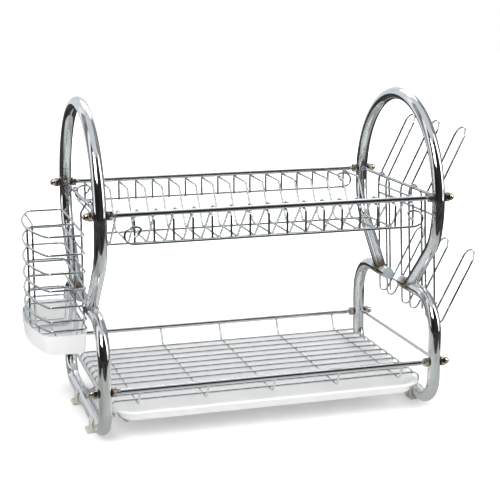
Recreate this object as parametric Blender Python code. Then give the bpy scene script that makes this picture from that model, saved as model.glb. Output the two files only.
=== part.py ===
"""Two-tier dish drainer: two bent tube frames, two welded wire tiers, and pieces that hang or slide on them.

X runs along the length, -Y is the front and +Z is up. The floor is at Z = 0, and the origin is the middle of
the footprint. Run it with blender --background --python part.py, or from Blender's text editor.
"""

import math

import bmesh
import bpy
from mathutils import Matrix, Vector

MM = 0.001

# Fits
GAP = 0.3 * MM
BITE = 0.8 * MM
OVERRUN = 5 * MM
SAME_POINT = 0.001 * MM

# Side frames
HEIGHT = 380 * MM
FRAME_SPAN = 400 * MM
TUBE_R = 7.5 * MM
SOLE = 3 * MM
RING_DIP = 6.5 * MM
RING_DROP_ANGLE = math.radians(15)
RING_CORNER_R = 50 * MM
RING_LEG_ANGLE = math.radians(45)
RING_FOOT_Y = 45 * MM
LOWER_Y = 122 * MM
LOWER_TOP_Z = 138 * MM
LOWER_SHOULDER_R = 45 * MM
LOWER_CORNER_R = 32 * MM
LOWER_END_Y = 22 * MM
END_CAP_BULGE = 3.5 * MM
TUBE_RINGS = 22
TUBE_ROUNDNESS = 4
LOWER_BEND_STEPS = 5
CAP_SIDES = 12
CAP_FALL_SHARE = 0.6
SADDLE_SIDES = 16
BORE_SIDES = 10

# Rods, nuts, washers and end bars
UPPER_ROD_RISE = 10 * MM
LOWER_ROD_Z = 62 * MM
ROD_R = 3 * MM
THREAD_R = 2.4 * MM
NECK = 4.2 * MM
NUT_ACROSS_FLATS = 10 * MM
NUT_H = 4.2 * MM
NUT_EDGE = 0.6 * MM
DOME_R = 4.6 * MM
DOME_H = 5.9 * MM
WASHER_R = 4.8 * MM
WASHER_H = 1.1 * MM
THREAD_PAST_WASHER = 6 * MM
END_BAR_R = 2 * MM
END_BAR_OUT = {"upper": 0, "lower": 5 * MM}
END_BAR_SETBACK = 2 * GAP
ROD_SIDES = 10
HEX_SIDES = 6
WASHER_SIDES = 10
BAR_ROUNDNESS = 2
DOME_SIDES = 10
DOME_SHARES = (0, 0.6, 0.95, 1)
DOME_FALL_SHARE = 0.9

# Feet
FOOT_Y = {"front": -70 * MM, "rear": 32 * MM}
FOOT_W = 17 * MM
FOOT_WALL = 1.5 * MM
FOOT_ARM_RISE = math.radians(40)
FOOT_TOE_OUT = 4.7 * MM
FOOT_TOE_H = 3.5 * MM
FOOT_CHAMFER = 1 * MM
FOOT_STEPS = 12
FOOT_ARM_STEPS = 3

# Upper tier
DIVIDER_COUNT = 17
DIVIDER_END = 25 * MM
DIVIDER_R = 1.3 * MM
LONG_WIRE_R = 1.4 * MM
TROUGH_DROP = 49 * MM
TROUGH_HALF = 39 * MM
TROUGH_REAR_IN = 50 * MM
TROUGH_FRONT_IN = 32 * MM
TROUGH_FRONT_DROP = 1 * MM
TROUGH_BEND_R = 6 * MM
FENCE_OUT = 4 * MM
FENCE_DROP = 26 * MM
HANGER_WIRE_OUT = 8 * MM
HANGER_WIRE_DROP = 31 * MM
SMALL_BEND_R = 3 * MM
SMALL_BEND_STEPS = 1
SCROLL_H = 19 * MM
SCROLL_REACH = 11.5 * MM
SCROLL_LEAF = 6 * MM
SCROLL_START_ANGLE = math.radians(115)
SCROLL_STEPS = 8
LEAF_START_SHARE = 0.4
LEAF_TIP_SHARE = 0.74
LONG_WIRE_END = 4 * MM

# Lower tier
LONG_WIRE_COUNT = 11
LONG_WIRE_HALF = 99 * MM
DECK_Z = 43 * MM
CURL_R = 7.5 * MM
CURL_OUT = 9.5 * MM
CURL_END_ANGLE = math.radians(-75)
CURL_WIRE_TURN = math.radians(8)
CURL_STEPS = 4
CROSS_WIRE_COUNT = 5
CROSS_WIRE_END = 40 * MM
CROSS_WIRE_HALF = 111 * MM

# Drip tray and its rails
TRAY_RIM_Z = 36.4 * MM
TRAY_BOTTOM_Z = 22.8 * MM
TRAY_WALL = 1.5 * MM
TRAY_HALF_DEPTH = 119 * MM
TRAY_DRAFT = 4 * MM
TRAY_CORNER_R = 22 * MM
TRAY_LIP = 5.6 * MM
TRAY_TO_CURL = 0.7 * MM
RAIL_R = 2 * MM
RAIL_IN = 24 * MM
RAIL_END_IN = 28 * MM
RAIL_HALF = 104 * MM
RAIL_END = 18 * MM
RAIL_BEND_R = 12 * MM
RAIL_ARM_Y = 45 * MM
RAIL_ARM_R = 1.6 * MM

# Hangers of the two hung pieces
HOOK_Y = 50 * MM
HOOK_WIRE_R = 1.3 * MM
HOOK_KNEE_DROP = 8 * MM
HOOK_TAIL_DROP = 11 * MM
HOOK_BEND_R = 2.2 * MM
HOOK_SLANT_TOP = 1.9 * MM
HOOK_TURN_R = 4 * MM
HOOK_BEND_STEPS = 2

# Cutlery basket and its cup
RING_WIRE_R = 1.4 * MM
BASKET_TOP_DROP = 28 * MM
BASKET_DEPTH = 108 * MM
BASKET_RING_SHARES = (0, 0.194, 0.389, 0.569, 0.745, 0.898, 1)
BASKET_IN = 11.1 * MM
BASKET_SIDE = 53 * MM
BASKET_BOW = 68.5 * MM
BASKET_HALF = 82 * MM
BASKET_CORNER_R = 6 * MM
BOW_SHARES = (-0.62, -0.2, 0.2, 0.62)
BASKET_FLOOR_DROP = 25 * MM
BASKET_FLOOR_WIRE_R = 1 * MM
BASKET_FLOOR_Y_SHARES = (-0.72, -0.36, 0.36, 0.72)
PARTITION_Y = -15 * MM
PARTITION_BAR_COUNT = 4
PARTITION_WIRE_R = 1.3 * MM
PARTITION_LIFT = 4 * MM
PARTITION_BEND_R = 5 * MM
PARTITION_BAR_TOP_DROP = 42 * MM
PARTITION_BAR_LOW_DROP = 92 * MM
FLOOR_BAR_HALF_SHARE = 0.8
FLOOR_BAR_X = 38 * MM
CHORD_Y = 11 * MM
CHORD_X = 57 * MM
CHORD_LIFT = 7 * MM
CHORD_REAR_Y = 71 * MM
CUP_WALL = 1.2 * MM
CUP_RIM_DROP = 5 * MM
CUP_H = 23 * MM
CUP_DRAFT = 2 * MM
CUP_CORNER_R = 10 * MM
CUP_SIDE_GROW = 1.7 * MM

# Board and cup holder
LOOP_COUNT = 3
LOOP_SIDE_IN = 47 * MM
LOOP_HALF = 12.5 * MM
LOOP_R = 1.5 * MM
LOOP_ELBOW_X = 10.3 * MM
LOOP_ELBOW_DROP = 10 * MM
LOOP_ELBOW_R = 22 * MM
LOOP_TIP_X = 52 * MM
LOOP_TIP_RISE = 75 * MM
LOOP_FOOT_X = 16 * MM
LOOP_FOOT_DROP = 157 * MM
LOOP_J_R = 6 * MM
LOOP_ARM_ANGLE = math.radians(62.5)
LOOP_ARM_LENGTH = 93 * MM
LOOP_CROSS_R = 1.4 * MM
LOOP_CROSS_DROPS = (29 * MM, 138 * MM)
LOOP_HANGER_DROP = 154 * MM
LOOP_J_STEPS = 4
LOOP_TIP_STEPS = 5
LOOP_ELBOW_STEPS = 2

# Worked out from the sizes above. The rings fill the height that is left above the lower tubes: a whole ring
# would dip RING_DIP below their top line. The upper rods lie on the rings, and the upper tier follows the rods.
FRAME_X = FRAME_SPAN / 2
BASE_Z = SOLE + TUBE_R
RING_R = (HEIGHT - TUBE_R - LOWER_TOP_Z + RING_DIP) / 2
RING_Z = HEIGHT - TUBE_R - RING_R
UPPER_ROD_Z = RING_Z + UPPER_ROD_RISE
UPPER_ROD_Y = math.sqrt(RING_R**2 - UPPER_ROD_RISE**2)
WASHER_FACE = TUBE_R + GAP
NUT_FACE = WASHER_FACE + WASHER_H + GAP
UNDER_ROD = ROD_R + DIVIDER_R - BITE
TROUGH_Z = UPPER_ROD_Z - TROUGH_DROP
TROUGH_REAR_Y = UPPER_ROD_Y - TROUGH_REAR_IN
TROUGH_FRONT_Y = UPPER_ROD_Y - TROUGH_FRONT_IN
TROUGH_FRONT_Z = UPPER_ROD_Z - TROUGH_FRONT_DROP
FENCE_Y = UPPER_ROD_Y + FENCE_OUT
FENCE_Z = UPPER_ROD_Z - FENCE_DROP
HANGER_WIRE_Y = UPPER_ROD_Y + HANGER_WIRE_OUT
HANGER_WIRE_Z = UPPER_ROD_Z - HANGER_WIRE_DROP
HOOK_KNEE_Z = UPPER_ROD_Z - HOOK_KNEE_DROP
HOOK_TAIL_Z = UPPER_ROD_Z - HOOK_TAIL_DROP
BASKET_TOP_Z = UPPER_ROD_Z - BASKET_TOP_DROP
BASKET_RING_Z = [BASKET_TOP_Z - BASKET_DEPTH * share for share in BASKET_RING_SHARES]
BASKET_FLOOR_Z = BASKET_RING_Z[-1] - BASKET_FLOOR_DROP
CUP_RIM_Z = BASKET_RING_Z[-1] - CUP_RIM_DROP
CUP_BOTTOM_Z = CUP_RIM_Z - CUP_H
LOOP_ELBOW_Z = UPPER_ROD_Z - LOOP_ELBOW_DROP
LOOP_TIP_Z = UPPER_ROD_Z + LOOP_TIP_RISE
LOOP_FOOT_Z = UPPER_ROD_Z - LOOP_FOOT_DROP
LOOP_HANGER_END_Z = UPPER_ROD_Z - LOOP_HANGER_DROP
TIERS = {"upper": (UPPER_ROD_Y, UPPER_ROD_Z), "lower": (LOWER_Y, LOWER_ROD_Z)}
ENDS = {"left": -1, "right": 1}
SIDES = {"front": -1, "rear": 1}
FACES = {"outer": 1, "inner": -1}
AXIS_X = Vector((1, 0, 0))
AXIS_Y = Vector((0, 1, 0))
SMOOTH_ANGLE = math.radians(50)
STRAIGHT_ANGLE = math.radians(0.01)

COLOURS = {
    "chrome": ((0.78, 0.79, 0.81, 1), 0.12, 1),
    "nickel": ((0.46, 0.39, 0.28, 1), 0.3, 1),
    "grey plastic": ((0.42, 0.46, 0.48, 1), 0.45, 0),
    "white plastic": ((0.86, 0.87, 0.87, 1), 0.4, 0),
    "black rubber": ((0.02, 0.02, 0.02, 1), 0.6, 0),
}


def clear_scene():
    for obj in list(bpy.data.objects):
        bpy.data.objects.remove(obj)


def material(name, look):
    colour, roughness, metallic = COLOURS[look]
    made = bpy.data.materials.new(name)
    made.use_nodes = True
    shader = made.node_tree.nodes["Principled BSDF"]
    shader.inputs["Base Color"].default_value = colour
    shader.inputs["Roughness"].default_value = roughness
    shader.inputs["Metallic"].default_value = metallic
    return made


def add_mesh(name, mesh):
    obj = bpy.data.objects.new(name, mesh)
    bpy.context.scene.collection.objects.link(obj)
    return obj


def finish(obj, name, look, origin=Vector(), smooth=True):
    """Names the piece, gives it its own material and puts its origin where it is held or moves."""
    obj.name = name
    obj.data.name = name
    obj.data.materials.clear()
    obj.data.materials.append(material(name, look))
    obj.data.transform(Matrix.Translation(-origin))
    obj.location = origin
    if smooth:
        obj.data.shade_smooth()
        obj.data.set_sharp_from_angle(angle=SMOOTH_ANGLE)
    return obj


def rounded(points, radius, steps=3, closed=False):
    """The polyline with every corner replaced by an arc of the radius. radius may be a list, one for each corner."""
    points = [Vector(point) for point in points]
    count = len(points)
    corners = range(count) if closed else range(1, count - 1)
    radii = dict(zip(corners, radius)) if isinstance(radius, list) else dict.fromkeys(corners, radius)
    line = []
    for index, corner in enumerate(points):
        if radii.get(index) is None:
            line.append(corner)
            continue
        before = (points[index - 1] - corner).normalized()
        after = (points[(index + 1) % count] - corner).normalized()
        half = before.angle(after) / 2
        if math.pi / 2 - half < STRAIGHT_ANGLE:
            continue
        middle = (before + after).normalized()
        centre = corner + middle * (radii[index] / math.sin(half))
        start = corner + before * (radii[index] / math.tan(half)) - centre
        end = corner + after * (radii[index] / math.tan(half)) - centre
        turn = start.angle(end)
        for step in range(steps + 1):
            share = step / steps
            swung = (math.sin((1 - share) * turn) * start + math.sin(share * turn) * end) / math.sin(turn)
            line.append(centre + swung)
    return line


def tube(points, radius, closed=False, roundness=1):
    """A mesh object swept along the points. Its section has 4 + 2 * roundness sides."""
    curve = bpy.data.curves.new("tube", "CURVE")
    curve.dimensions = "3D"
    curve.bevel_depth = radius
    curve.bevel_resolution = roundness
    curve.use_fill_caps = True
    spline = curve.splines.new("POLY")
    spline.points.add(len(points) - 1)
    for place, point in zip(spline.points, points):
        place.co = (*point, 1)
    spline.use_cyclic_u = closed
    guide = add_mesh("tube", curve)
    mesh = evaluated_mesh(guide)
    bpy.data.objects.remove(guide)
    work = bmesh.new()
    work.from_mesh(mesh)
    bmesh.ops.remove_doubles(work, verts=work.verts, dist=SAME_POINT)
    return meshed(work)


def evaluated_mesh(obj):
    bpy.context.view_layer.update()
    graph = bpy.context.evaluated_depsgraph_get()
    return bpy.data.meshes.new_from_object(obj.evaluated_get(graph), depsgraph=graph)


def grouped(objects):
    """One object that holds the shells of all of them. They must not touch each other."""
    work = bmesh.new()
    for obj in objects:
        obj.data.transform(obj.matrix_world)
        work.from_mesh(obj.data)
        bpy.data.objects.remove(obj)
    return meshed(work)


def combined(body, other, operation):
    """The Boolean of two objects, applied. It uses up both."""
    step = body.modifiers.new(operation, "BOOLEAN")
    step.operation = operation
    step.solver = "EXACT"
    step.object = other
    mesh = evaluated_mesh(body)
    bpy.data.objects.remove(body)
    bpy.data.objects.remove(other)
    return add_mesh("combined", mesh)


def welded(*groups):
    """One closed body of several groups of wires that bite into each other."""
    body = grouped(groups[0])
    for group in groups[1:]:
        body = combined(body, grouped(group), "UNION")
    return body


def prism(outline, start, end, place):
    """A closed solid between start and end along the third axis. place turns (u, v, w) into a point."""
    work = bmesh.new()
    layers = [[work.verts.new(place(u, v, w)) for u, v in outline] for w in (start, end)]
    work.faces.new(layers[0])
    work.faces.new(layers[1])
    for index in range(len(outline)):
        after = (index + 1) % len(outline)
        work.faces.new((layers[0][index], layers[0][after], layers[1][after], layers[1][index]))
    return meshed(work)


def lofted(loops):
    """A closed solid through loops of equally many points, capped at its first and last loop."""
    work = bmesh.new()
    layers = [[work.verts.new(point) for point in loop] for loop in loops]
    for lower, upper in zip(layers, layers[1:]):
        for index in range(len(lower)):
            after = (index + 1) % len(lower)
            work.faces.new((lower[index], lower[after], upper[after], upper[index]))
    work.faces.new(layers[0])
    work.faces.new(layers[-1])
    return meshed(work)


def meshed(work):
    """An object that holds the work mesh, with every face turned outwards."""
    bmesh.ops.recalc_face_normals(work, faces=work.faces)
    mesh = bpy.data.meshes.new("piece")
    work.to_mesh(mesh)
    work.free()
    return add_mesh("piece", mesh)


def arc(centre, radius, start, end, steps):
    """Points on an arc, as pairs, both ends included."""
    turns = [start + (end - start) * step / steps for step in range(steps + 1)]
    return [(centre[0] + radius * math.cos(turn), centre[1] + radius * math.sin(turn)) for turn in turns]


def circle(centre, radius, sides, across, along):
    """Points round a centre, in the plane of the two unit vectors."""
    turns = [math.tau * side / sides for side in range(sides)]
    return [centre + radius * (math.cos(turn) * across + math.sin(turn) * along) for turn in turns]


def turned(start, direction, profile, sides):
    """A solid of revolution: profile lists (distance along direction, radius), both ends closed."""
    direction = Vector(direction)
    across = direction.orthogonal().normalized()
    along = direction.cross(across)
    return lofted([circle(start + reach * direction, radius, sides, across, along) for reach, radius in profile])


def rod_bore(x, y, z, radius, half_length):
    return turned(Vector((x - half_length, y, z)), AXIS_X, [(0, radius), (2 * half_length, radius)], BORE_SIDES)


# Side frames
def crossing(point, heading, other, other_heading):
    """Where two lines of the plane meet."""
    across = heading[0] * other_heading[1] - heading[1] * other_heading[0]
    apart = (other[0] - point[0], other[1] - point[1])
    reach = (apart[0] * other_heading[1] - apart[1] * other_heading[0]) / across
    return (point[0] + reach * heading[0], point[1] + reach * heading[1])


def ring_path(x):
    """From the front foot over the top to the rear foot."""
    drop = RING_DROP_ANGLE
    ring = arc((0, RING_Z), RING_R, math.pi + drop, -drop, TUBE_RINGS)
    foot = (RING_FOOT_Y, LOWER_TOP_Z)
    leg = (math.cos(RING_LEG_ANGLE), math.sin(RING_LEG_ANGLE))
    corner = crossing(ring[-1], (-math.sin(drop), -math.cos(drop)), foot, leg)
    rear = rounded([Vector((x, *ring[-1])), (x, *corner), (x, *foot)], RING_CORNER_R)[1:]
    front = [Vector((x, -point.y, point.z)) for point in reversed(rear)]
    return front + [Vector((x, *point)) for point in ring] + rear


def lower_path(x):
    """From the front top end down, along the base and up to the rear top end."""
    rear = [(x, 0, BASE_Z), (x, LOWER_Y, BASE_Z), (x, LOWER_Y, LOWER_TOP_Z), (x, LOWER_END_Y, LOWER_TOP_Z)]
    rear = rounded(rear, [LOWER_CORNER_R, LOWER_SHOULDER_R], LOWER_BEND_STEPS)[1:]
    front = [Vector((x, -point.y, point.z)) for point in reversed(rear)]
    return front + rear


def ring_tube(end):
    x = ENDS[end] * FRAME_X
    body = tube(ring_path(x), TUBE_R, roundness=TUBE_ROUNDNESS)
    saddle = turned(
        Vector((x, -LOWER_Y, LOWER_TOP_Z)), AXIS_Y, [(0, TUBE_R + GAP), (2 * LOWER_Y, TUBE_R + GAP)], SADDLE_SIDES
    )
    body = combined(body, saddle, "DIFFERENCE")
    return drilled(body, x, *TIERS["upper"], f"{end}_upper_ring_tube")


def lower_tube(end):
    x = ENDS[end] * FRAME_X
    body = tube(lower_path(x), TUBE_R, roundness=TUBE_ROUNDNESS)
    return drilled(body, x, *TIERS["lower"], f"{end}_lower_tube")


def drilled(body, x, y, z, name):
    bores = [rod_bore(x, side * y, z, THREAD_R + GAP, TUBE_R + OVERRUN) for side in SIDES.values()]
    return finish(combined(body, grouped(bores), "DIFFERENCE"), name, "chrome")


def end_cap(end, side):
    start = Vector((ENDS[end] * FRAME_X, SIDES[side] * (LOWER_END_Y - GAP), LOWER_TOP_Z))
    profile = [(share * END_CAP_BULGE, TUBE_R * math.sqrt(1 - share**2 * CAP_FALL_SHARE)) for share in DOME_SHARES]
    finish(turned(start, -SIDES[side] * AXIS_Y, profile, CAP_SIDES), f"{end}_{side}_end_cap", "grey plastic")


def foot(end, side):
    """A clip that grips the base tube from below, open at its top, with a toe that points outwards on the floor."""
    outer = TUBE_R + GAP + FOOT_WALL
    toe = outer + FOOT_TOE_OUT
    outline = arc((0, BASE_Z), TUBE_R + GAP, math.pi - FOOT_ARM_RISE, math.tau + FOOT_ARM_RISE, FOOT_STEPS)
    outline += arc((0, BASE_Z), outer, FOOT_ARM_RISE, 0, FOOT_ARM_STEPS)
    outline += [(outer, FOOT_TOE_H), (toe - FOOT_CHAMFER, FOOT_TOE_H), (toe, FOOT_TOE_H - FOOT_CHAMFER), (toe, 0)]
    outline += [(FOOT_CHAMFER - outer, 0), (-outer, FOOT_CHAMFER)]
    outline += arc((0, BASE_Z), outer, math.pi, math.pi - FOOT_ARM_RISE, FOOT_ARM_STEPS)
    x, y = ENDS[end] * FRAME_X, FOOT_Y[side]
    body = prism(outline, y - FOOT_W / 2, y + FOOT_W / 2, lambda u, v, w: (x + ENDS[end] * u, w, v))
    finish(body, f"{end}_{side}_foot", "white plastic")


def end_bar(end, tier):
    y, z = TIERS[tier]
    x = ENDS[end] * (FRAME_X + END_BAR_OUT[tier])
    nearest = max(END_BAR_OUT[tier] - END_BAR_R, 0)
    reach = y - math.sqrt((TUBE_R + END_BAR_SETBACK) ** 2 - nearest**2)
    bar = tube([(x, -reach, z), (x, reach, z)], END_BAR_R, roundness=BAR_ROUNDNESS)
    finish(bar, f"{end}_{tier}_end_bar", "chrome")


# Rods and nuts
def rod(y, z):
    """A rod with a thinner threaded end through each side frame."""
    shoulder = FRAME_X - NUT_FACE - NUT_H - NECK
    end = FRAME_X + NUT_FACE + THREAD_PAST_WASHER
    profile = [(0, THREAD_R), (end - shoulder, THREAD_R), (end - shoulder, ROD_R)]
    profile += [(end + shoulder, ROD_R), (end + shoulder, THREAD_R), (2 * end, THREAD_R)]
    return turned(Vector((-end, y, z)), AXIS_X, profile, ROD_SIDES)


def hex_block(start, direction):
    corner = NUT_ACROSS_FLATS / 2 / math.cos(math.pi / HEX_SIDES)
    profile = [(0, corner - NUT_EDGE), (NUT_EDGE / 2, corner)]
    profile += [(NUT_H - NUT_EDGE / 2, corner), (NUT_H, corner - NUT_EDGE)]
    return turned(start, direction, profile, HEX_SIDES)


def hex_nut(end, tier, side):
    y, z = TIERS[tier]
    y *= SIDES[side]
    inward = -ENDS[end] * AXIS_X
    face = Vector((ENDS[end] * FRAME_X, y, z)) + NUT_FACE * inward
    body = hex_block(face, inward)
    bore = rod_bore(face.x, y, z, THREAD_R + GAP, NUT_H + OVERRUN)
    finish(combined(body, bore, "DIFFERENCE"), f"{end}_{tier}_{side}_hex_nut", "nickel", smooth=False)


def domed_nut(end, tier, side):
    y, z = TIERS[tier]
    y *= SIDES[side]
    outward = ENDS[end] * AXIS_X
    face = Vector((ENDS[end] * FRAME_X, y, z)) + NUT_FACE * outward
    body = hex_block(face, outward)
    dome = [(share * DOME_H, DOME_R * math.sqrt(1 - share**2 * DOME_FALL_SHARE)) for share in DOME_SHARES]
    profile = [(NUT_H / 2, DOME_R)] + [(NUT_H + reach, radius) for reach, radius in dome]
    body = combined(body, turned(face, outward, profile, DOME_SIDES), "UNION")
    bore = rod_bore(face.x, y, z, THREAD_R + GAP, THREAD_PAST_WASHER + 2 * GAP)
    finish(combined(body, bore, "DIFFERENCE"), f"{end}_{tier}_{side}_domed_nut", "nickel")


def washer(end, tier, side, face):
    y, z = TIERS[tier]
    y *= SIDES[side]
    away = FACES[face] * ENDS[end] * AXIS_X
    start = Vector((ENDS[end] * FRAME_X, y, z)) + WASHER_FACE * away
    body = turned(start, away, [(0, WASHER_R), (WASHER_H, WASHER_R)], WASHER_SIDES)
    body = combined(body, rod_bore(start.x, y, z, THREAD_R + GAP, WASHER_H + OVERRUN), "DIFFERENCE")
    finish(body, f"{end}_{tier}_{side}_{face}_washer", "black rubber", smooth=False)


# Upper tier
def divider_places():
    first = FRAME_X - DIVIDER_END
    step = 2 * first / (DIVIDER_COUNT - 1)
    return [-first + step * index for index in range(DIVIDER_COUNT)]


def divider(x):
    """From the rear fence under the rear rod, down through the trough and up to the front rod."""
    under = UPPER_ROD_Z - UNDER_ROD
    points = [(FENCE_Y, FENCE_Z - LONG_WIRE_R), (FENCE_Y, under), (TROUGH_REAR_Y, under)]
    points += [(TROUGH_HALF, TROUGH_Z), (-TROUGH_HALF, TROUGH_Z), (-TROUGH_FRONT_Y, TROUGH_FRONT_Z)]
    points += [(-UPPER_ROD_Y + ROD_R / 2, TROUGH_FRONT_Z)]
    radii = [SMALL_BEND_R] + [TROUGH_BEND_R] * 4
    return tube(rounded([(x, *point) for point in points], radii, steps=SMALL_BEND_STEPS), DIVIDER_R)


def front_hanger(x):
    under = UPPER_ROD_Z - UNDER_ROD
    low = HANGER_WIRE_Z - LONG_WIRE_R
    points = [(-UPPER_ROD_Y + ROD_R / 2, under), (-HANGER_WIRE_Y, under), (-HANGER_WIRE_Y, low)]
    return tube(rounded([(x, *point) for point in points], SMALL_BEND_R, SMALL_BEND_STEPS), DIVIDER_R)


def scrolled_wire(last_x, y, z):
    """A long wire whose ends turn up outside the last upright into a scroll with a short leaf."""
    scroll = [(0, SCROLL_H * LEAF_START_SHARE), (-SCROLL_LEAF, SCROLL_H * LEAF_TIP_SHARE)]
    loop = arc((0, 0), 1, SCROLL_START_ANGLE, -math.pi / 2, SCROLL_STEPS)
    scroll += [(SCROLL_REACH * u, SCROLL_H * (1 + v) / 2) for u, v in loop]
    right = [Vector((last_x + u, y, z + v)) for u, v in scroll]
    left = [Vector((-point.x, y, point.z)) for point in reversed(right)]
    return tube(right + left, LONG_WIRE_R)


def long_wire(half, y, z):
    return tube([(-half, y, z), (half, y, z)], LONG_WIRE_R)


def plate_rack():
    crossing_step = DIVIDER_R + LONG_WIRE_R - BITE
    dividers = divider_places()
    hangers = [(first + second) / 2 for first, second in zip(dividers, dividers[1:])]
    trough_half = dividers[-1] + LONG_WIRE_END
    lengthwise = [rod(side * UPPER_ROD_Y, UPPER_ROD_Z) for side in SIDES.values()]
    for side in SIDES.values():
        y = side * (TROUGH_HALF - TROUGH_BEND_R)
        lengthwise.append(long_wire(trough_half, y, TROUGH_Z - crossing_step))
    lengthwise.append(scrolled_wire(dividers[-1], FENCE_Y + crossing_step, FENCE_Z))
    lengthwise.append(scrolled_wire(hangers[-1], -HANGER_WIRE_Y - crossing_step, HANGER_WIRE_Z))
    body = welded(lengthwise, [divider(x) for x in dividers] + [front_hanger(x) for x in hangers])
    finish(body, "upper_plate_rack", "chrome")


# Lower tier
def deck_wire(y):
    """A long wire of the deck, curled down and under at both ends."""
    centre = (FRAME_X - CURL_OUT - CURL_R, DECK_Z - CURL_R)
    right = [Vector((u, y, v)) for u, v in arc(centre, CURL_R, CURL_END_ANGLE, math.pi / 2, CURL_STEPS)]
    left = [Vector((-point.x, y, point.z)) for point in reversed(right)]
    return tube(right + left, LONG_WIRE_R)


def cross_wire(x):
    """Hangs from both rods and carries the deck wires."""
    deck = DECK_Z - LONG_WIRE_R - DIVIDER_R + BITE
    start = (x, -LOWER_Y + ROD_R / 2, LOWER_ROD_Z - ROD_R / 2)
    end = (x, LOWER_Y - ROD_R / 2, LOWER_ROD_Z - ROD_R / 2)
    points = [start, (x, -CROSS_WIRE_HALF, deck), (x, CROSS_WIRE_HALF, deck), end]
    return tube(rounded(points, TROUGH_BEND_R), DIVIDER_R)


def curl_wire(x_side):
    """Joins the tips of the curls."""
    reach = CURL_R + LONG_WIRE_R + DIVIDER_R - BITE
    x = FRAME_X - CURL_OUT - CURL_R + reach * math.cos(CURL_END_ANGLE + CURL_WIRE_TURN)
    z = DECK_Z - CURL_R + reach * math.sin(CURL_END_ANGLE + CURL_WIRE_TURN)
    half = LONG_WIRE_HALF + LONG_WIRE_END
    return tube([(x_side * x, -half, z), (x_side * x, half, z)], DIVIDER_R)


def dish_basket():
    pitch = 2 * LONG_WIRE_HALF / (LONG_WIRE_COUNT - 1)
    deck = [deck_wire(-LONG_WIRE_HALF + pitch * index) for index in range(LONG_WIRE_COUNT)]
    rods = [rod(side * LOWER_Y, LOWER_ROD_Z) for side in SIDES.values()]
    first = FRAME_X - CROSS_WIRE_END
    step = 2 * first / (CROSS_WIRE_COUNT - 1)
    crosses = [cross_wire(-first + step * index) for index in range(CROSS_WIRE_COUNT)]
    body = welded(deck + rods, crosses + [curl_wire(side) for side in ENDS.values()])
    finish(body, "lower_dish_basket", "chrome")


# Drip tray and its rails
def rounded_box(half_x, half_y, radius, z):
    corners = [(half_x, half_y), (-half_x, half_y), (-half_x, -half_y), (half_x, -half_y)]
    return rounded([(*corner, z) for corner in corners], radius, closed=True)


def drip_tray():
    """An open pan whose rim lip runs inside the curls of the deck wires."""
    lip_x = FRAME_X - CURL_OUT - LONG_WIRE_R - TRAY_TO_CURL
    half_x, half_y = lip_x - TRAY_LIP, TRAY_HALF_DEPTH
    under_lip = TRAY_RIM_Z - TRAY_WALL
    loops = [
        (-TRAY_DRAFT, TRAY_BOTTOM_Z),
        (0, under_lip),
        (TRAY_LIP, under_lip),
        (TRAY_LIP, TRAY_RIM_Z),
        (-TRAY_WALL, TRAY_RIM_Z),
        (-TRAY_WALL - TRAY_DRAFT, TRAY_BOTTOM_Z + TRAY_WALL),
    ]
    body = lofted([rounded_box(half_x + grow, half_y + grow, TRAY_CORNER_R + grow, z) for grow, z in loops])
    finish(body, "drip_tray", "white plastic", origin=Vector((0, 0, TRAY_BOTTOM_Z)))


def tray_rail(end):
    """A wire under the tray, carried by two short arms on the base tube."""
    side = ENDS[end]
    x = side * (FRAME_X - RAIL_IN)
    z = TRAY_BOTTOM_Z - GAP - RAIL_R
    rear = [(x, RAIL_HALF - RAIL_END, z), (side * (FRAME_X - RAIL_END_IN), RAIL_HALF, z)]
    points = [(u, -y, z) for u, y, z in reversed(rear)] + rear
    rail = tube(rounded(points, RAIL_BEND_R), RAIL_R)
    arms = []
    for front in SIDES.values():
        y = front * RAIL_ARM_Y
        knee = (side * (FRAME_X - RAIL_IN + z - BASE_Z), y, BASE_Z)
        tip = (side * (FRAME_X - TUBE_R - GAP), y, BASE_Z)
        arms.append(tube(rounded([(x, y, z), knee, tip], SMALL_BEND_R, steps=SMALL_BEND_STEPS), RAIL_ARM_R))
    finish(welded([rail], arms), f"{end}_tray_rail", "chrome")


# Hung pieces
def outward(end, u, y, z):
    """A point given by its distance outside the plane of that end's side frame."""
    return Vector((ENDS[end] * (FRAME_X + u), y, z))


def double_hanger(end, knee_u, bottom_u, bottom_z):
    """One wire: up, over the end bar, along behind it, over it again and down."""
    clear = END_BAR_R + HOOK_WIRE_R + GAP
    top = UPPER_ROD_Z + clear
    front = [(bottom_u, bottom_z), (knee_u, HOOK_KNEE_Z), (HOOK_SLANT_TOP, top)]
    front += [(-clear, top), (-clear, HOOK_TAIL_Z)]
    points = [outward(end, u, -HOOK_Y, z) for u, z in front]
    points += [outward(end, u, HOOK_Y, z) for u, z in reversed(front)]
    bends = [HOOK_TURN_R, HOOK_BEND_R, HOOK_BEND_R, HOOK_TURN_R]
    return tube(rounded(points, bends + bends[::-1], HOOK_BEND_STEPS), HOOK_WIRE_R)


def bow(y, side, bow_u, half):
    """How far out the bowed side lies at this depth."""
    rise = bow_u - side
    radius = (half**2 + rise**2) / (2 * rise)
    return bow_u - radius + math.sqrt(radius**2 - y**2)


def basket_plan(end, z, inner, side, bow_u, half, corner_r):
    """The D-shaped outline of the cutlery basket and its cup."""
    ys = [half * share for share in BOW_SHARES]
    points = [(inner, -half), (side, -half)] + [(bow(y, side, bow_u, half), y) for y in ys]
    points += [(side, half), (inner, half)]
    radii = [corner_r, corner_r] + [None] * len(ys) + [corner_r, corner_r]
    return rounded([outward(end, u, y, z) for u, y in points], radii, steps=SMALL_BEND_STEPS, closed=True)


def basket_ring(end, z):
    outline = basket_plan(end, z, BASKET_IN, BASKET_SIDE, BASKET_BOW, BASKET_HALF, BASKET_CORNER_R)
    return tube(outline, RING_WIRE_R, closed=True)


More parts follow.
